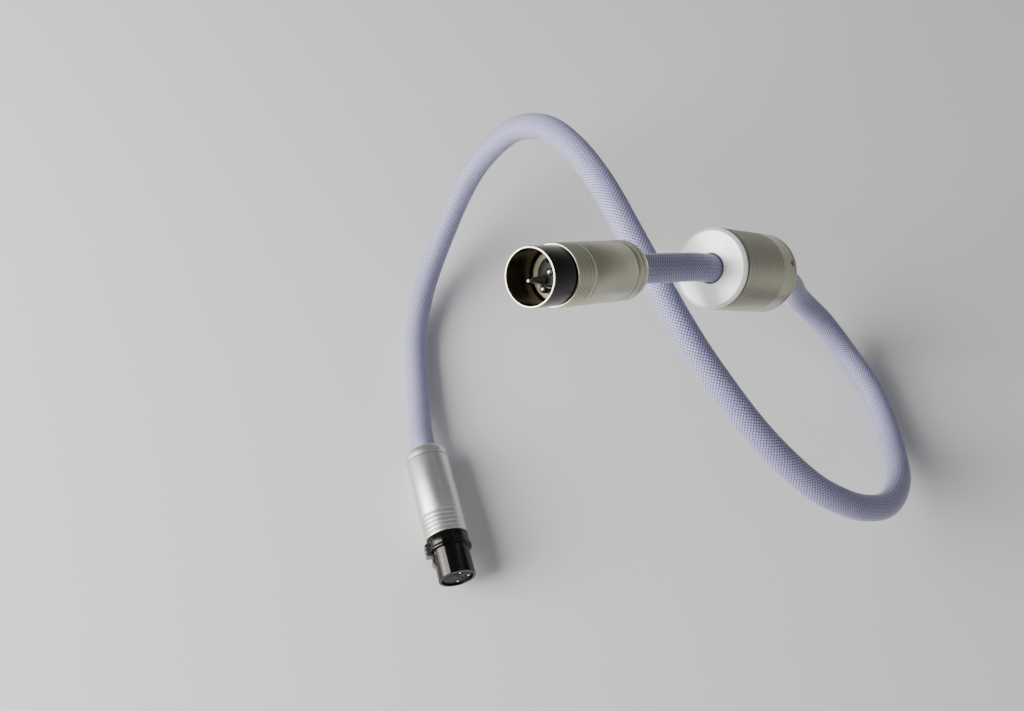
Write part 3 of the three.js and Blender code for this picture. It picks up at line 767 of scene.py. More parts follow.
@dataclass
class SubAssembly:
    """What every sub-assembly shares: its station, its finishes and how a piece is handed in."""

    finishes: Finishes
    station: Station
    made: list[bpy.types.Object] = field(default_factory=list)

    def hand_in(self, piece: bpy.types.Object, node: str, slot: str, finish: str | None = None,
                body: str = BODY, seat: bool = True) -> bpy.types.Object:
        """Seats and dresses a piece, and says which node it stands for.

        Args:
            piece: the finished mesh.
            node: the CAD node that it stands for.
            slot: the record's material slot.
            finish: the material, where it isn't the slot's own.
            body: the CAD body that it moves with.
            seat: whether it still lies at the world's origin.

        Returns:
            The piece.
        """
        if seat:
            self.station.seat(piece)
        self.finishes.dress(piece, finish or slot)
        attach(piece, body)
        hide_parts(node)
        self.made.append(piece)
        log.info("%s: %d faces for %s", piece.name, len(piece.data.polygons), node)
        return piece


# ---------------------------------------------------------------- connectors


CABLE_HOLE = 5.65
CONTACT_CIRCLE = 4.15
PIN_RADIUS = 1.2
CONTACT_TURNS = (90, 270, 180)
GROOVE_DEPTH = 0.35
CUP_REACH = 2  # how far a solder cup stands out behind its insulator
HOLE_SLACK = 0.12
WIRE_COLOURS = ("wire_red", "wire_white", "wire_green")


def contact_place(index: int) -> tuple[float, float]:
    """Where a contact sits round the axis, in millimetres."""
    turn = math.radians(CONTACT_TURNS[index])
    return CONTACT_CIRCLE * math.cos(turn), CONTACT_CIRCLE * math.sin(turn)


@dataclass
class Connector(SubAssembly):
    """The turned sleeve and rear cap that both connectors have."""

    prefix: str = "connector"
    metal: str = "satin_aluminium"
    sleeve_diameter: float = 20.0
    sleeve_end: float = 46.0
    rings: tuple[float, ...] = ()
    ring_width: float = 0.7
    cap_length: float = 5.0
    cap_end_diameter: float = 14.6
    tail_grooves: tuple[float, ...] = ()
    rim: float = 0.3
    wall: float = 1.1

    def build_sleeve(self) -> None:
        """Turns the sleeve with the grooves behind its rim and those near its tail."""
        outer, inner = self.sleeve_diameter / 2, self.sleeve_diameter / 2 - self.wall
        start, end = self.cap_length + GAP, self.sleeve_end
        marks = [*(start + ahead for ahead in self.tail_grooves),
                 *(end - back for back in reversed(self.rings))]
        line = [(inner, start),
                *eased([(inner, start), (outer, start), (outer, start + 1)], 0.25, 3, False)[1:-1]]
        for z in marks:
            line += groove(outer, GROOVE_DEPTH, self.ring_width, z)
        line += eased([(outer, end - 1), (outer, end), (inner, end), (inner, end - 1)],
                      self.rim, 4, False)[1:-1]
        self.hand_in(turn_piece(f"{self.prefix}_fine_sleeve", line), f"{self.prefix}_sleeve",
                     "satin_aluminium",
                     self.metal)

    def build_rear_cap(self) -> None:
        """Turns the rounded rear cap with its cable hole."""
        outer = self.sleeve_diameter / 2
        spigot = outer - self.wall - GAP
        line = [(CABLE_HOLE + 0.35, 0.0),
                *quarter(self.cap_end_diameter / 2, outer, 0, self.cap_length * 0.75),
                (outer, self.cap_length - 0.2), (outer - 0.2, self.cap_length), (spigot, self.cap_length),
                (spigot, self.cap_length + 4.5), (7.15, self.cap_length + 4.5), (7.15, self.cap_length * 0.5),
                (CABLE_HOLE, self.cap_length * 0.5), (CABLE_HOLE, 0.35), (CABLE_HOLE + 0.1, 0.1)]
        self.hand_in(turn_piece(f"{self.prefix}_fine_rear_cap", line), f"{self.prefix}_rear_cap",
                     "satin_aluminium",
                     self.metal)

    def dress_inside(self) -> None:
        """Dresses the clamp and the three wires, which stay as they are."""
        self.finishes.dress_node(f"{self.prefix}_cable_clamp", "clamp_plastic")
        for i, colour in enumerate(WIRE_COLOURS, 1):
            self.finishes.dress_node(f"{self.prefix}_wire_{i}", colour)

    def build_contact(self, index: int, kind: str, outline: Outline) -> None:
        """Turns one contact and puts it on the contact circle.

        Args:
            index: which of the three contacts it is.
            kind: what the contacts are called in the nodes' names.
            outline: radius and height of each ring.
        """
        contact = turn_piece(f"{self.prefix}_fine_{kind}_{index + 1}", outline, Ends.DISCS, 48)
        x, y = contact_place(index)
        contact.data.transform(Matrix.Translation((x * MM, y * MM, 0)))
        self.hand_in(contact, f"{self.prefix}_{kind}_{index + 1}", "contact_metal")


@dataclass
class MalePlug(Connector):
    """The plug: a dark polished shell with a painted highlight on its rim, round an insulator with three
    pins.
    """

    length: float = 56.0
    shell_diameter: float = 19.0
    shell_wall: float = 0.8
    socket_depth: float = 13.0
    insert_length: float = 11.0
    ring_band: float = 1.5
    pin_reach: float = 8.6
    pin_nose: float = 0.95
    glint_band: float = 0.17

    @property
    def face(self) -> float:
        """Height of the insulator's face."""
        return self.length - self.socket_depth

    def build(self) -> None:
        """Builds and dresses the whole plug."""
        self.build_rear_cap()
        self.build_sleeve()
        self.dress_inside()
        self.build_shell()
        self.build_ring()
        self.build_insert()
        for i in range(3):
            self.build_contact(i, "pin", self.pin_outline())

    def build_shell(self) -> None:
        """Turns the thin polished shell with its rolled rim."""
        outer = self.shell_diameter / 2
        inner = outer - self.shell_wall
        waist = self.sleeve_diameter / 2 - self.wall - GAP
        back = self.face - self.insert_length
        rim = [(outer, self.length - 1), (outer, self.length), (inner, self.length), (inner, self.length - 1)]
        line = [(waist - self.shell_wall, back), (waist, back), (waist, self.sleeve_end + 0.05),
                (outer - 0.35, self.sleeve_end + 0.05), (outer - 0.35, self.sleeve_end + 0.5),
                (outer, self.sleeve_end + 0.75), *eased(rim, 0.32, 5, False)[1:-1], (inner, self.face),
                (waist - self.shell_wall, self.face - 1)]
        shell = self.hand_in(turn_piece("male_fine_shell", line, sides=160), "male_shell", "black_nickel")
        self.paint_rim_glint_and_bore_reflection(shell)

    def paint_rim_glint_and_bore_reflection(self, shell: bpy.types.Object) -> None:
        """Paints a highlight on the rolled rim and a golden-brown reflection in the bore, as two more
        materials.

        Args:
            shell: the seated shell.
        """
        shell.data.materials.append(self.finishes.made["rim_painted_glint"])
        shell.data.materials.append(self.finishes.made["bore_painted_reflection"])
        kept = shell.data.attributes[LOCAL].data
        bore = self.shell_diameter / 2 - self.shell_wall + 0.05
        for face in shell.data.polygons:
            spots = [kept[v].vector for v in face.vertices]
            lowest = min(spot[2] for spot in spots)
            # painted highlight: the faces of the rolled rim get the lighter material
            if lowest > self.length - self.glint_band:
                face.material_index = 1
            # painted reflection: the bore near the insulator's face gets the golden-brown material
            elif lowest > self.face - 2 and max(math.hypot(spot[0], spot[1]) for spot in spots) < bore:
                face.material_index = 2

    def ring_radii(self) -> tuple[float, float]:
        """Outer and inner radius of the ring round the insulator.

        Returns:
            The two radii, in millimetres.
        """
        waist = self.sleeve_diameter / 2 - self.wall - GAP - self.shell_wall
        outer = min(waist, self.shell_diameter / 2 - self.shell_wall) - GAP
        return outer + 0.25, outer - self.ring_band

    def build_ring(self) -> None:
        """Turns the bronze ring, with a shallow step round its face."""
        outer, inner = self.ring_radii()
        back, face = self.face - self.insert_length, self.face
        line = [(inner, back), (outer - 0.25, back), (outer - 0.25, face - 0.6),
                *eased([(outer, face - 0.5), (outer, face), (outer - 0.55, face), (outer - 0.65, face - 0.25),
                        (inner, face - 0.25)], 0.1, 2, False)]
        self.hand_in(turn_piece("male_fine_insert_ring", line), "male_insert_ring", "bronze_ring")

    def build_insert(self) -> None:
        """Turns the insulator and cuts its pin holes and its keyway."""
        radius = self.ring_radii()[1] - HOLE_SLACK
        back, face = self.face - self.insert_length, self.face - GAP
        body = turn_piece("male_fine_insert", [(radius, back), (radius, face - 0.3), (radius - 0.3, face)],
                          Ends.DISCS)
        holes = [rod((*contact_place(i), face), PIN_RADIUS + 0.45, 0.9) for i in range(3)]
        through = [rod((*contact_place(i), (back + face) / 2), PIN_RADIUS + HOLE_SLACK,
                       self.insert_length + 2)
                   for i in range(3)]
        keyway = block((radius, 0, self.face - 3), (3.2, 2.3, 7))
        cut_away(body, *holes, *through, keyway)
        break_edges(body, 0.12)
        self.hand_in(body, "male_insert", "insulator")

    def pin_outline(self) -> Outline:
        """The side of a pin, from its solder cup to its rounded nose.

        Returns:
            The outline, as radius and height in millimetres.
        """
        tip = self.face + self.pin_reach
        cup = self.face - self.insert_length - CUP_REACH
        nose = [(PIN_RADIUS * math.cos(t), tip - self.pin_nose + self.pin_nose * math.sin(t))
                for t in np.linspace(0, 1.5, 10)]
        return [(1.1, cup), (1.35, cup + 0.1), (1.35, cup + 1.6), (PIN_RADIUS, cup + 1.7),
                (PIN_RADIUS, self.face - 0.4), *nose]


@dataclass
class FemaleSocket(Connector):
    """The socket: a dark nose with three contacts, and a lever that latches a plug."""

    length: float = 61.0
    nose_diameter: float = 15.8
    nose_length: float = 12.6
    nose_wall: float = 1.2
    collar_diameter: float = 17.6
    flange_diameter: float = 18.6
    flange_length: float = 1.3
    insert_length: float = 22.0
    latch_width: float = 4.4
    latch_arm: float = 10.2
    tab_length: float = 5.6
    tab_height: float = 1.8
    ribs: int = 3
    eye_radius: float = 0.95
    eye_hole: float = 0.55

    @property
    def nose_start(self) -> float:
        """Height where the nose leaves the flange."""
        return self.length - self.nose_length

    @property
    def bore(self) -> float:
        """Radius inside the nose."""
        return self.nose_diameter / 2 - self.nose_wall

    @property
    def face(self) -> float:
        """Height of the insulator's face."""
        return self.length - 0.6

    @property
    def pivot(self) -> tuple[float, float]:
        """Height and reach of the lever's pivot."""
        return self.sleeve_end + GAP + 1.5, self.nose_diameter / 2 - 0.2

    def build(self) -> None:
        """Builds and dresses the whole socket."""
        self.build_rear_cap()
        self.build_sleeve()
        self.dress_inside()
        self.build_housing()
        self.build_insert()
        for i in range(3):
            self.build_contact(i, "socket", self.socket_outline())
        self.build_lever()
        self.finishes.dress_node("latch_pivot_pin", "spring_steel")
        self.finishes.dress_node("latch_spring", "spring_steel")

    def build_housing(self) -> None:
        """Turns the collar, flange and nose in one, and cuts the lever's slot."""
        collar, flange, nose = self.collar_diameter / 2, self.flange_diameter / 2, self.nose_diameter / 2
        waist = self.sleeve_diameter / 2 - self.wall - GAP
        back = self.face - self.insert_length
        step = self.nose_start - self.flange_length
        outside = [(waist, back), (waist, self.sleeve_end + 0.05), (collar, self.sleeve_end + 0.3),
                   (collar, step - 0.3), (collar - 0.3, step - 0.3), (collar - 0.3, step), (flange, step),
                   (flange, self.nose_start), (nose, self.nose_start), (nose, self.length),
                   (self.bore, self.length), (self.bore, back)]
        line = [(self.bore, back), *eased(outside, 0.28, 4, False)[:-1]]
        body = turn_piece("female_fine_housing", line, sides=144)
        pivot = self.pivot[0]
        reach = self.latch_arm + self.eye_radius + 2 * GAP
        slot = block((self.bore - 0.5 + flange / 2, 0, pivot - self.eye_radius - GAP + reach / 2),
                     (flange, self.latch_width + 2 * GAP, reach))
        hole = rod((self.pivot[1], 0, pivot), self.eye_hole, self.latch_width * 2, "Y", 24)
        cut_away(body, slot, hole)
        break_edges(body, 0.12, 50)
        self.hand_in(body, "female_housing", "black_nickel")

    def build_insert(self) -> None:
        """Turns the insulator, and cuts its contact holes and the bed under the lever."""
        radius = self.bore - HOLE_SLACK
        back = self.face - self.insert_length
        outline = [(radius, back), (radius, self.face - 0.35), (radius - 0.35, self.face)]
        body = turn_piece("female_fine_insert", outline, Ends.DISCS)
        holes = [rod((*contact_place(i), (back + self.face) / 2), 1.75, self.insert_length + 2)
                 for i in range(3)]
        flat = self.bore - GAP - 0.55
        bed = block((flat + 2, 0, back + (self.insert_length - 3) / 2 - 1),
                    (4, 2 * radius, self.insert_length - 3))
        cut_away(body, *holes, bed)
        break_edges(body, 0.12)
        self.hand_in(body, "female_insert", "insulator", "socket_face")

    def socket_outline(self) -> Outline:
        """The side of a socket contact, from its solder cup round its flared mouth into its bore.

        Returns:
            The outline, as radius and height in millimetres.
        """
        mouth, cup = self.face - 0.15, self.face - self.insert_length - CUP_REACH
        outer, bore = 1.6, 1.25
        return [(1.1, cup), (outer - 0.2, cup), (outer, cup + 0.2), (outer, mouth - 0.1),
                (outer - 0.1, mouth),
                (bore + 0.18, mouth), (bore, mouth - 0.35), (bore, mouth - 10.6)]

    def build_lever(self) -> None:
        """Draws the lever's side outline, pulls it to its width and rounds it."""
        at, reach = self.pivot
        bottom = self.nose_diameter / 2 - 0.7
        top = bottom + 1
        crest = self.collar_diameter / 2 + self.tab_height
        end = at + self.latch_arm
        tooth = self.nose_diameter / 2 + 0.9
        line: Outline = [(at, bottom - 0.3), (end, bottom), (end, top - 0.3), (end - 0.5, tooth - 0.54),
                         (end - 1.3, tooth - 0.12), (end - 1.8, tooth), (end - 2.6, tooth), (end - 2.8, top)]
        pitch = self.tab_length / self.ribs
        line.append((at + self.tab_length, top))
        for i in range(self.ribs, 0, -1):
            z = at + pitch * i
            line += [(z, crest - 0.75), (z - pitch * 0.18, crest - 0.2), (z - pitch * 0.36, crest),
                     (z - pitch * 0.64, crest), (z - pitch * 0.82, crest - 0.2)]
        line.append((at, crest - 0.75))
        line += [(at + self.eye_radius * math.cos(t), reach + self.eye_radius * math.sin(t))
                 for t in np.linspace(math.pi / 2, math.pi * 1.5, 9)][:-1]
        lever = profile_piece("latch_fine_lever", line, self.latch_width)
        cut_away(lever, rod((reach, 0, at), self.eye_hole, self.latch_width * 2, "Y", 24))
        break_edges(lever, 0.16, 35)
        self.hand_in(lever, "latch_lever", "bright_nickel", body="latch")


# ---------------------------------------------------------------- filter barrel


@dataclass
class FilterBarrel(SubAssembly):
    """The round in-line filter: two screwed caps, a ridged body, and what it holds."""

    length: float = 41.0
    diameter: float = 30.8
    wall: float = 2.2
    rear_length: float = 3.6
    front_length: float = 2.5
    skirt_length: float = 4.0
    chamfer: float = 1.3
    chamfer_length: float = 0.8
    ridges: int = 17
    ridge_pitch: float = 1.5
    ridge_depth: float = 0.45
    ridge_start: float = 1.5
    screw_turns: tuple[float, ...] = (-28.0, 152.0)
    screw_place: float = 1.7
    screw_depth: float = 3.4
    screw_length: float = 3.1
    notch_turn: float = -32.0
    neck_length: float = 1.0
    neck_depth: float = 0.6
    seam: float = 0.2

    def build(self) -> None:
        """Builds and dresses the whole barrel."""
        self.build_cap(True)
        self.build_body()
        self.build_cap(False)
        for i, turn in enumerate(self.screw_turns, 1):
            self.build_screw(i, turn)
        for node, slot in (("barrel_front_bush", "bush_rubber"), ("barrel_rear_bush", "bush_rubber"),
                           ("filter_core_half_1", "ferrite"), ("filter_core_half_2", "ferrite"),
                           ("filter_core_case", "clamp_plastic")):
            self.finishes.dress_node(node, slot)

    def build_cap(self, front: bool) -> None:
        """Turns one cap with its skirt.

        Args:
            front: whether it is the flat chamfered cap, towards the plug.
        """
        outer = self.diameter / 2
        skirt, bush, ledge = outer - self.wall - GAP, CABLE_HOLE + 2.1, 1.4
        length = self.front_length if front else self.rear_length
        if front:
            rim = eased([(outer - self.chamfer - 2, 0), (outer - self.chamfer, 0),
                         (outer, self.chamfer_length),
                         (outer, self.chamfer_length + 0.5)], 0.16, 3, False)[1:-1]
            back = [(outer, length - self.neck_length),
                    (outer - self.neck_depth, length - self.neck_length + 0.15),
                    (outer - self.neck_depth, length)]
        else:
            rim = quarter(outer - 3, outer, 0, length * 0.8)
            back = [(outer, length - 0.25), (outer - 0.25, length)]
        line = [(CABLE_HOLE, ledge), (CABLE_HOLE, 0.3), (CABLE_HOLE + 0.3, 0), *rim, *back, (skirt, length),
                (skirt, length + self.skirt_length), (skirt - 1.5, length + self.skirt_length),
                (skirt - 1.5, length), (bush, length), (bush, ledge)]
        name = "front" if front else "rear"
        cap = turn_piece(f"barrel_fine_{name}_cap", line, sides=160)
        if front:
            notch = block((outer, 0, length), (2.6, 1.3, 1.4))
            notch.data.transform(Matrix.Rotation(math.radians(-self.notch_turn), 4, "Z"))
            cut_away(cap, notch)
            break_edges(cap, 0.08, 60)
            cap.data.transform(Matrix.Translation((0, 0, self.length * MM))
                               @ Matrix.Rotation(math.pi, 4, "X"))
        else:
            cut_away(cap, *(self.screw_room(turn) for turn in self.screw_turns))
        # the front cap gets the near-white material, a painted highlight for the glare on its lit face
        self.hand_in(cap, f"barrel_{name}_cap", "barrel_aluminium", "front_cap_painted_glare" if front else None)

    def screw_room(self, turn: float) -> bpy.types.Object:
        """A bar along a radius, over the rear cap's skirt, where a grub screw goes.

        Args:
            turn: its angle round the barrel's axis, in degrees.

        Returns:
            The bar.
        """
        bar = rod((self.diameter / 2 - 2, 0, self.rear_length + GAP + self.screw_place), 1.15, 6, "X", 32)
        bar.data.transform(Matrix.Rotation(math.radians(turn), 4, "Z"))
        return bar

    def build_body(self) -> None:
        """Turns the ridged body and drills it for the grub screws."""
        outer = self.diameter / 2
        start, end = self.rear_length + GAP, self.length - self.front_length - GAP - self.seam
        first = end + self.seam - self.ridge_start - self.ridge_pitch * (self.ridges - 1)
        line = [(outer - self.wall, start), (outer - 0.25, start), (outer, start + 0.25)]
        for i in range(self.ridges):
            z = first + self.ridge_pitch * i
            line += [(outer, z - self.ridge_pitch * 0.3),
                     (outer - self.ridge_depth * 0.8, z - self.ridge_pitch * 0.12),
                     (outer - self.ridge_depth, z),
                     (outer - self.ridge_depth * 0.8, z + self.ridge_pitch * 0.12),
                     (outer, z + self.ridge_pitch * 0.3)]
        line += [(outer, end - 0.35), (outer - 0.35, end), (outer - self.wall, end)]
        body = turn_piece("barrel_fine_body", line, sides=160)
        cut_away(body, *(self.screw_room(turn) for turn in self.screw_turns))
        self.hand_in(body, "barrel_body", "barrel_aluminium")

    def build_screw(self, index: int, turn: float) -> None:
        """Turns one grub screw with a six-sided drive.

        Args:
            index: its number.
            turn: the way it points round the barrel, in degrees.
        """
        top = self.screw_length
        screw = turn_piece(f"barrel_fine_grub_screw_{index}",
                           [(0.7, 0), (1, 0.3), (1, top - 0.15), (0.85, top)],
                           Ends.DISCS, 32)
        cut_away(screw, rod((0, 0, top), 0.5, 1.6, "Z", 6))
        spot = (self.diameter / 2 - self.screw_depth, 0, self.rear_length + GAP + self.screw_place)
        inwards = Matrix.Translation(Vector(spot) * MM) @ Matrix.Rotation(math.pi / 2, 4, "Y")
        screw.data.transform(Matrix.Rotation(math.radians(turn), 4, "Z") @ inwards)
        self.hand_in(screw, f"barrel_grub_screw_{index}", "spring_steel", "screw_steel")


# ---------------------------------------------------------------- cable


@dataclass
class Route:
    """The cable's centreline, from inside the socket, through the barrel, to inside the plug."""

    female: Station
    male: Station
    barrel: Station
    barrel_length: float = 41.0
    grip: float = 15.0
    free_line: tuple[Point, ...] = (
        (-75, 37, 5.9), (-76.7, 60.5, 5.6), (-74.8, 80, 8.7), (-70.7, 94, 13.7), (-62.6, 111.3, 25),
        (-55, 121.5, 39), (-46.6, 126.7, 54), (-32, 123.3, 80), (-18.4, 107.9, 101.5), (-7.6, 87.9, 114),
        (2.3, 65.7, 120.5), (10.8, 44.8, 121.5), (19.8, 25.7, 118.5), (28.9, 8.6, 114),
        (37.5, -4.4, 108.5), (59, -27.3, 92.3), (80.6, -39.4, 74.4), (94, -41.5, 63),
        (106, -39.9, 51.6), (120.6, -32.1, 35.5), (132.8, -14.4, 17.7), (135.6, -1.1, 10.3),
        (135.2, 17, 5.9), (131, 34.6, 5.8), (120.5, 51.5, 10.2), (108.6, 60.9, 21.5),
        (93.6, 61.8, 41.4), (85.7, 57.7, 59.9),
    )

    def points(self) -> list[Vector]:
        """Every point that the line goes through, in millimetres."""
        f, b, m = self.female.along, self.barrel.along, self.male.along
        return [f(self.grip), f(0), f(-7), *(Vector(p) for p in self.free_line), b(-9), b(-1),
                b(self.barrel_length + 1), b(self.barrel_length + 9), m(-8), m(0), m(self.grip)]

    def line(self, spacing: float) -> np.ndarray:
        """The centreline at even steps, a centripetal Catmull-Rom curve.

        Args:
            spacing: the step, in millimetres.

        Returns:
            The points, one to a row, in millimetres.
        """
        held = [np.array(p) for p in self.points()]
        held = [2 * held[0] - held[1], *held, 2 * held[-1] - held[-2]]
        dense: list[np.ndarray] = []
        for p0, p1, p2, p3 in zip(held, held[1:], held[2:], held[3:]):
            t1 = np.linalg.norm(p1 - p0) ** 0.5
            t2 = t1 + np.linalg.norm(p2 - p1) ** 0.5
            t3 = t2 + np.linalg.norm(p3 - p2) ** 0.5
            for t in np.linspace(t1, t2, 60, endpoint=False):
                a1 = p0 + (p1 - p0) * t / t1
                a2 = p1 + (p2 - p1) * (t - t1) / (t2 - t1)
                a3 = p2 + (p3 - p2) * (t - t2) / (t3 - t2)
                b1 = a1 + (a2 - a1) * t / t2
                b2 = a2 + (a3 - a2) * (t - t1) / (t3 - t1)
                dense.append(b1 + (b2 - b1) * (t - t1) / (t2 - t1))
        dense.append(held[-2])
        spots = np.array(dense)
        far = np.r_[0, np.linalg.norm(np.diff(spots, axis=0), axis=1).cumsum()]
        even = np.linspace(0, far[-1], round(far[-1] / spacing) + 1)
        return np.stack([np.interp(even, far, spots[:, k]) for k in range(3)], axis=1)


@dataclass
class Carrier:
    """One yarn's size in the braid."""

    width: float = 0.93
    thickness: float = 0.32


@dataclass
class BraidedCable(SubAssembly):
    """The jacket and the braid of twenty-two carriers each way over it."""

    route: Route | None = None
    diameter: float = 10.7
    jacket_radius: float = 4.75
    jacket_every: int = 3
    carriers: int = 22
    carrier: Carrier = field(default_factory=Carrier)

    def build(self) -> None:
        line = self.route.line(1.0)
        log.info("cable line %.1f mm", np.linalg.norm(np.diff(line, axis=0), axis=1).sum())
        jacket = self.build_jacket(line)
        braids = [self.build_braid(hand, share) for hand in Hand for share in range(2)]
        tuple(self.route.female.along(0) * MM)

    @staticmethod
    def headings(line: np.ndarray) -> np.ndarray:
        """The way that the line runs at each of its points, one to a row."""
        ahead = np.gradient(line, axis=0)
        return ahead / np.linalg.norm(ahead, axis=1)[:, None]

    @classmethod
    def frames(cls, line: np.ndarray) -> tuple[np.ndarray, np.ndarray]:
        """Two directions across the line at each point that turn with it but never twist.

        Args:
            line: the centreline.

        Returns:
            The two directions, one to a row.
        """
        ahead = cls.headings(line)
        across = np.empty_like(ahead)
        here = np.cross(ahead[0], (0, 0, 1))
        for i, way in enumerate(ahead):
            here = here - way * (here @ way)
            here /= np.linalg.norm(here)
            across[i] = here
        return across, np.cross(ahead, across)

    def build_jacket(self, line: np.ndarray) -> bpy.types.Object:
        """Sweeps the smooth jacket along the line.

        Args:
            line: the centreline at even steps.

        Returns:
            The jacket.
        """
        sides = 24
        line = line[::self.jacket_every]
        across, over = self.frames(line)
        turns = np.linspace(0, math.tau, sides, endpoint=False)
        rings = (line[:, None] + self.jacket_radius * (across[:, None] * np.cos(turns)[None, :, None]
                                                       + over[:, None] * np.sin(turns)[None, :, None]))
        count = len(line)
        index = np.arange(count * sides).reshape(count, sides)
        ahead = np.roll(index, -1, axis=1)
        faces = np.stack([index[:-1], ahead[:-1], ahead[1:], index[1:]], axis=-1).reshape(-1, 4).tolist()
        faces += [index[0][::-1].tolist(), index[-1].tolist()]
        piece = mesh_piece("cable_jacket", rings.reshape(-1, 3), faces)
        bpy.ops.object.shade_smooth_by_angle(angle=math.radians(60))
        return self.hand_in(piece, "cable", "braided_jacket", "jacket", seat=False)

    def build_braid(self, hand: Hand, share: int) -> bpy.types.Object:
        """Plaits half the carriers of one hand, over and under those of the other.

        Args:
            hand: the way that they turn.
            share: 0 or 1, which of the two halves.

        Returns:
            The half, one mesh of closed strips.
        """
        outer = self.diameter / 2
        swing = (outer - self.jacket_radius - self.carrier.thickness) / 2
        middle = self.jacket_radius + self.carrier.thickness / 2 + swing
        pitch = math.tau * middle
        crossing = pitch / (2 * self.carriers)
        line = self.route.line(crossing / 2)
        across, over = self.frames(line)
        steps = np.arange(len(line))
        ahead = self.headings(line)
        keep = self.outside(line)
        phase = np.cos(steps * math.pi / 2) * hand.value
        lift = (phase + 1) / 2
        height = middle + swing * phase
        verts, faces, across_uv, along_uv, lifts, lanes = [], [], [], [], [], []
        half, thick = self.carrier.width / 2, self.carrier.thickness
        base = 0
        for lane in range(share * self.carriers // 2, (share + 1) * self.carriers // 2):
            turn = math.tau * (lane / self.carriers + hand.value * steps / (4 * self.carriers))
            out = across * np.cos(turn)[:, None] + over * np.sin(turn)[:, None]
            side = np.cross(ahead, out)
            spot = line + out * height[:, None]
            flat = (side - hand.value * ahead) / math.sqrt(2)
            top, bottom = spot + out * thick * 0.5, spot - out * thick * 0.4
            left, right = spot - flat * half - out * thick * 0.15, spot + flat * half - out * thick * 0.15
            for start, end in keep:
                n = end - start
                corners = [corner[start:end] for corner in (left, top, right, bottom)]
                verts.append(np.stack(corners, axis=1).reshape(-1, 3))
                index = base + np.arange(n * 4).reshape(n, 4)
                onward = np.roll(index, -1, axis=1)
                quads = np.stack([index[:-1], index[1:], onward[1:], onward[:-1]], axis=-1).reshape(-1, 4)
                faces += quads.tolist() + [index[0].tolist(), index[-1][::-1].tolist()]
                across_uv.append(np.tile((0.0, 0.5, 1.0, 0.5), n))
                along_uv.append(np.repeat(steps[start:end] * crossing / 2, 4))
                lifts.append(np.repeat(lift[start:end], 4))
                lanes.append(np.full(n * 4, lane * 7.3 + (hand.value + 1) * 31))
                base += n * 4
        piece = mesh_piece(f"cable_braid_{hand.name.lower()}_{share + 1}", np.concatenate(verts), faces)
        self.keep_values(piece.data,
                         *(np.concatenate(values) for values in (across_uv, along_uv, lifts, lanes)))
        edit_all()
        face_outwards()
        bpy.ops.object.shade_smooth_by_angle(angle=math.radians(50))
        self.finishes.dress(piece, "braid")
        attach(piece, BODY)
        self.made.append(piece)
        log.info("%s: %d faces", piece.name, len(piece.data.polygons))
        return piece

    @staticmethod
    def keep_values(mesh: bpy.types.Mesh, across: np.ndarray, along: np.ndarray, lift: np.ndarray,
                    lane: np.ndarray) -> None:
        """Writes the carriers' map and attributes.

        Args:
            mesh: the braid's mesh.
            across: place across the carrier, by vertex.
            along: place along it in millimetres, by vertex.
            lift: 1 where it lies over another, by vertex.
            lane: a number for each carrier, by vertex.
        """
        corners = np.empty(len(mesh.loops), dtype=np.int32)
        mesh.loops.foreach_get("vertex_index", corners)
        uv = mesh.uv_layers.new(name="carrier")
        uv.data.foreach_set("uv", np.stack([across[corners], along[corners]], axis=1).ravel())
        for name, values in (("lift", lift), ("lane", lane)):
            kept = mesh.attributes.new(name, "FLOAT", "POINT")
            kept.data.foreach_set("value", values.astype(np.float32))

    def outside(self, line: np.ndarray) -> list[tuple[int, int]]:
        """The stretches of the line that show, with a little of each end inside.

        Args:
            line: the centreline.

        Returns:
            First and last index of each stretch.
        """
        def nearest(spot: Vector) -> int:
            """Index of the line's point nearest to a spot."""
            return int(np.linalg.norm(line - np.array(spot), axis=1).argmin())

        f, b, m = self.route.female, self.route.barrel, self.route.male
        return [(nearest(f.along(4)), nearest(b.along(3)) + 1),
                (nearest(b.along(self.route.barrel_length - 3)), nearest(m.along(4)) + 1)]


# ---------------------------------------------------------------- studio


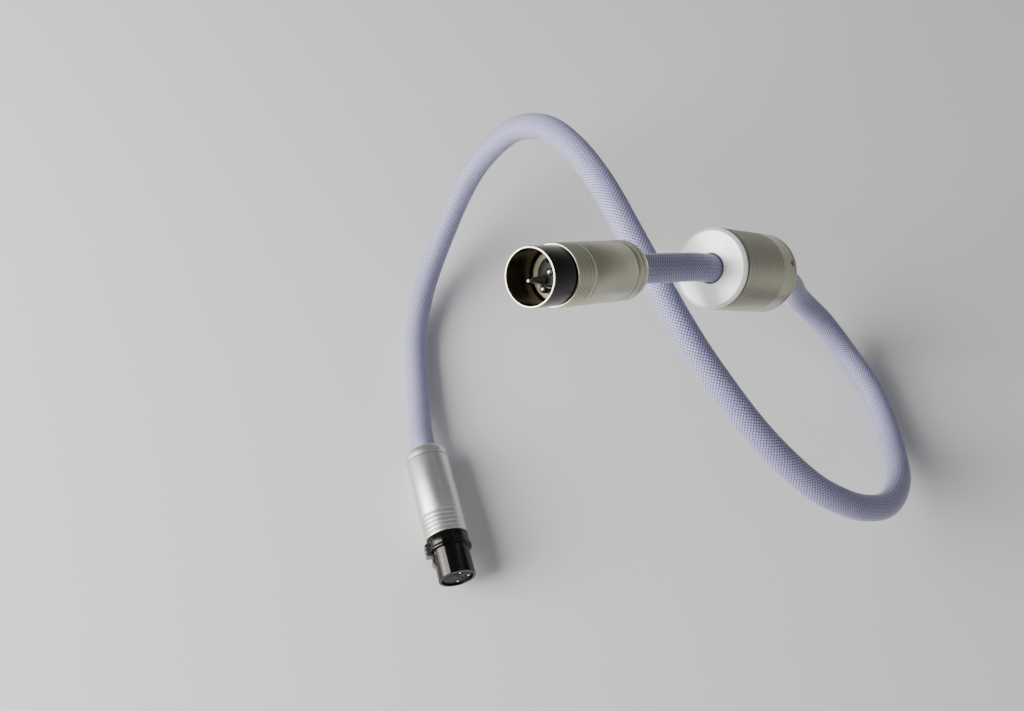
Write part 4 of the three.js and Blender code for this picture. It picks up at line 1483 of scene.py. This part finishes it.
@dataclass
class Studio:
    """A plain pale floor, soft light and the camera."""

    camera_place: Point = (-32, -208, 495)
    camera_pitch: float = 28.0
    lens: float = 42.19
    sensor: float = 36.0
    aim: Point = (0, 0, 0.06)

    def build(self) -> None:
        """Sets up the floor, the lights and the camera."""
        self.build_floor()
        self.add_light("key", (-1.0, -0.25, 0.7), 0.95, 27.0)
        self.add_light("side", (-1.1, -0.2, 0.28), 0.7, 9.0)
        self.add_light("fill", (0.8, -0.9, 0.9), 1.2, 2.0)
        world = bpy.data.worlds.new("studio_air")
        bpy.context.scene.world = world
        world.use_nodes = True
        backdrop = world.node_tree.nodes["Background"]
        backdrop.inputs["Color"].default_value = (0.9, 0.92, 1.0, 1.0)
        backdrop.inputs["Strength"].default_value = 0.2
        self.add_camera()

    def build_floor(self) -> None:
        """Adds the floor, with a faint unevenness so that it isn't one flat tone."""
        deselect_all()
        bpy.ops.mesh.primitive_plane_add(size=8, location=(0, 0, 0))
        floor = bpy.context.object
        floor.name = "studio_floor"
        made, g, shader = new_material("studio_floor")
        cloud = g.noise(g.add("TexCoord").outputs["Object"], 3.0, 3.0)
        g.feed(shader.inputs["Base Color"], g.blend(cloud, (0.76, 0.75, 0.74), (0.8, 0.79, 0.78)))
        shader.inputs["Roughness"].default_value = 0.7
        floor.data.materials.append(made)

    def add_light(self, name: str, place: Point, size: float, power: float) -> None:
        """Adds a square area light that faces the object.

        Args:
            name: its name.
            place: where it is, in metres.
            size: its side, in metres.
            power: its power, in watts.
        """
        lamp = bpy.data.lights.new(name, "AREA")
        lamp.size, lamp.energy = size, power
        held = bpy.data.objects.new(name, lamp)
        held.location = place
        held.rotation_euler = (Vector(self.aim) - Vector(place)).to_track_quat("-Z", "Y").to_euler()
        bpy.context.collection.objects.link(held)

    def add_camera(self) -> None:
        """Adds the camera, looking down at the object."""
        camera = bpy.data.objects.new("camera", bpy.data.cameras.new("camera"))
        camera.data.lens, camera.data.sensor_width = self.lens, self.sensor
        camera.data.clip_start = 0.01
        camera.location = [c * MM for c in self.camera_place]
        camera.rotation_euler = (math.radians(self.camera_pitch), 0, 0)
        bpy.context.collection.objects.link(camera)
        bpy.context.scene.camera = camera


def main() -> None:
    """Builds every sub-assembly, then the studio."""
    logging.basicConfig(level=logging.INFO, format="%(name)s: %(message)s")
    finishes = Finishes()
    female = Station((-70.2, 2.3, 9.1), (15.5, -58.2, 4.5), 80)
    male = Station((6.5, 7.8, 150.6), (-34.2, -26.4, 38), 62)
    barrel = Station((68.5, 45.2, 88.4), (-26.7, -14.7, 27.2))
    route = Route(female, male, barrel)
    assemblies = [
        FemaleSocket(finishes, female, prefix="female", metal="cool_aluminium", sleeve_diameter=18.6,
                     sleeve_end=42.4,
                     rings=(1.9, 3.8, 5.7, 7.6, 9.8)),
        MalePlug(finishes, male, prefix="male", sleeve_diameter=20.5, sleeve_end=44.0, tail_grooves=(3.4,),
                 rings=(1.3, 2.6, 3.9, 5.2, 6.5, 7.8, 10.2), ring_width=0.6, rim=0.6),
        FilterBarrel(finishes, barrel),
        BraidedCable(finishes, female, route=route),
    ]
    for assembly in assemblies:
        assembly.build()
        log.info("%s: %d pieces", type(assembly).__name__, len(assembly.made))
    Studio().build()


if __name__ == "__main__":
    main()
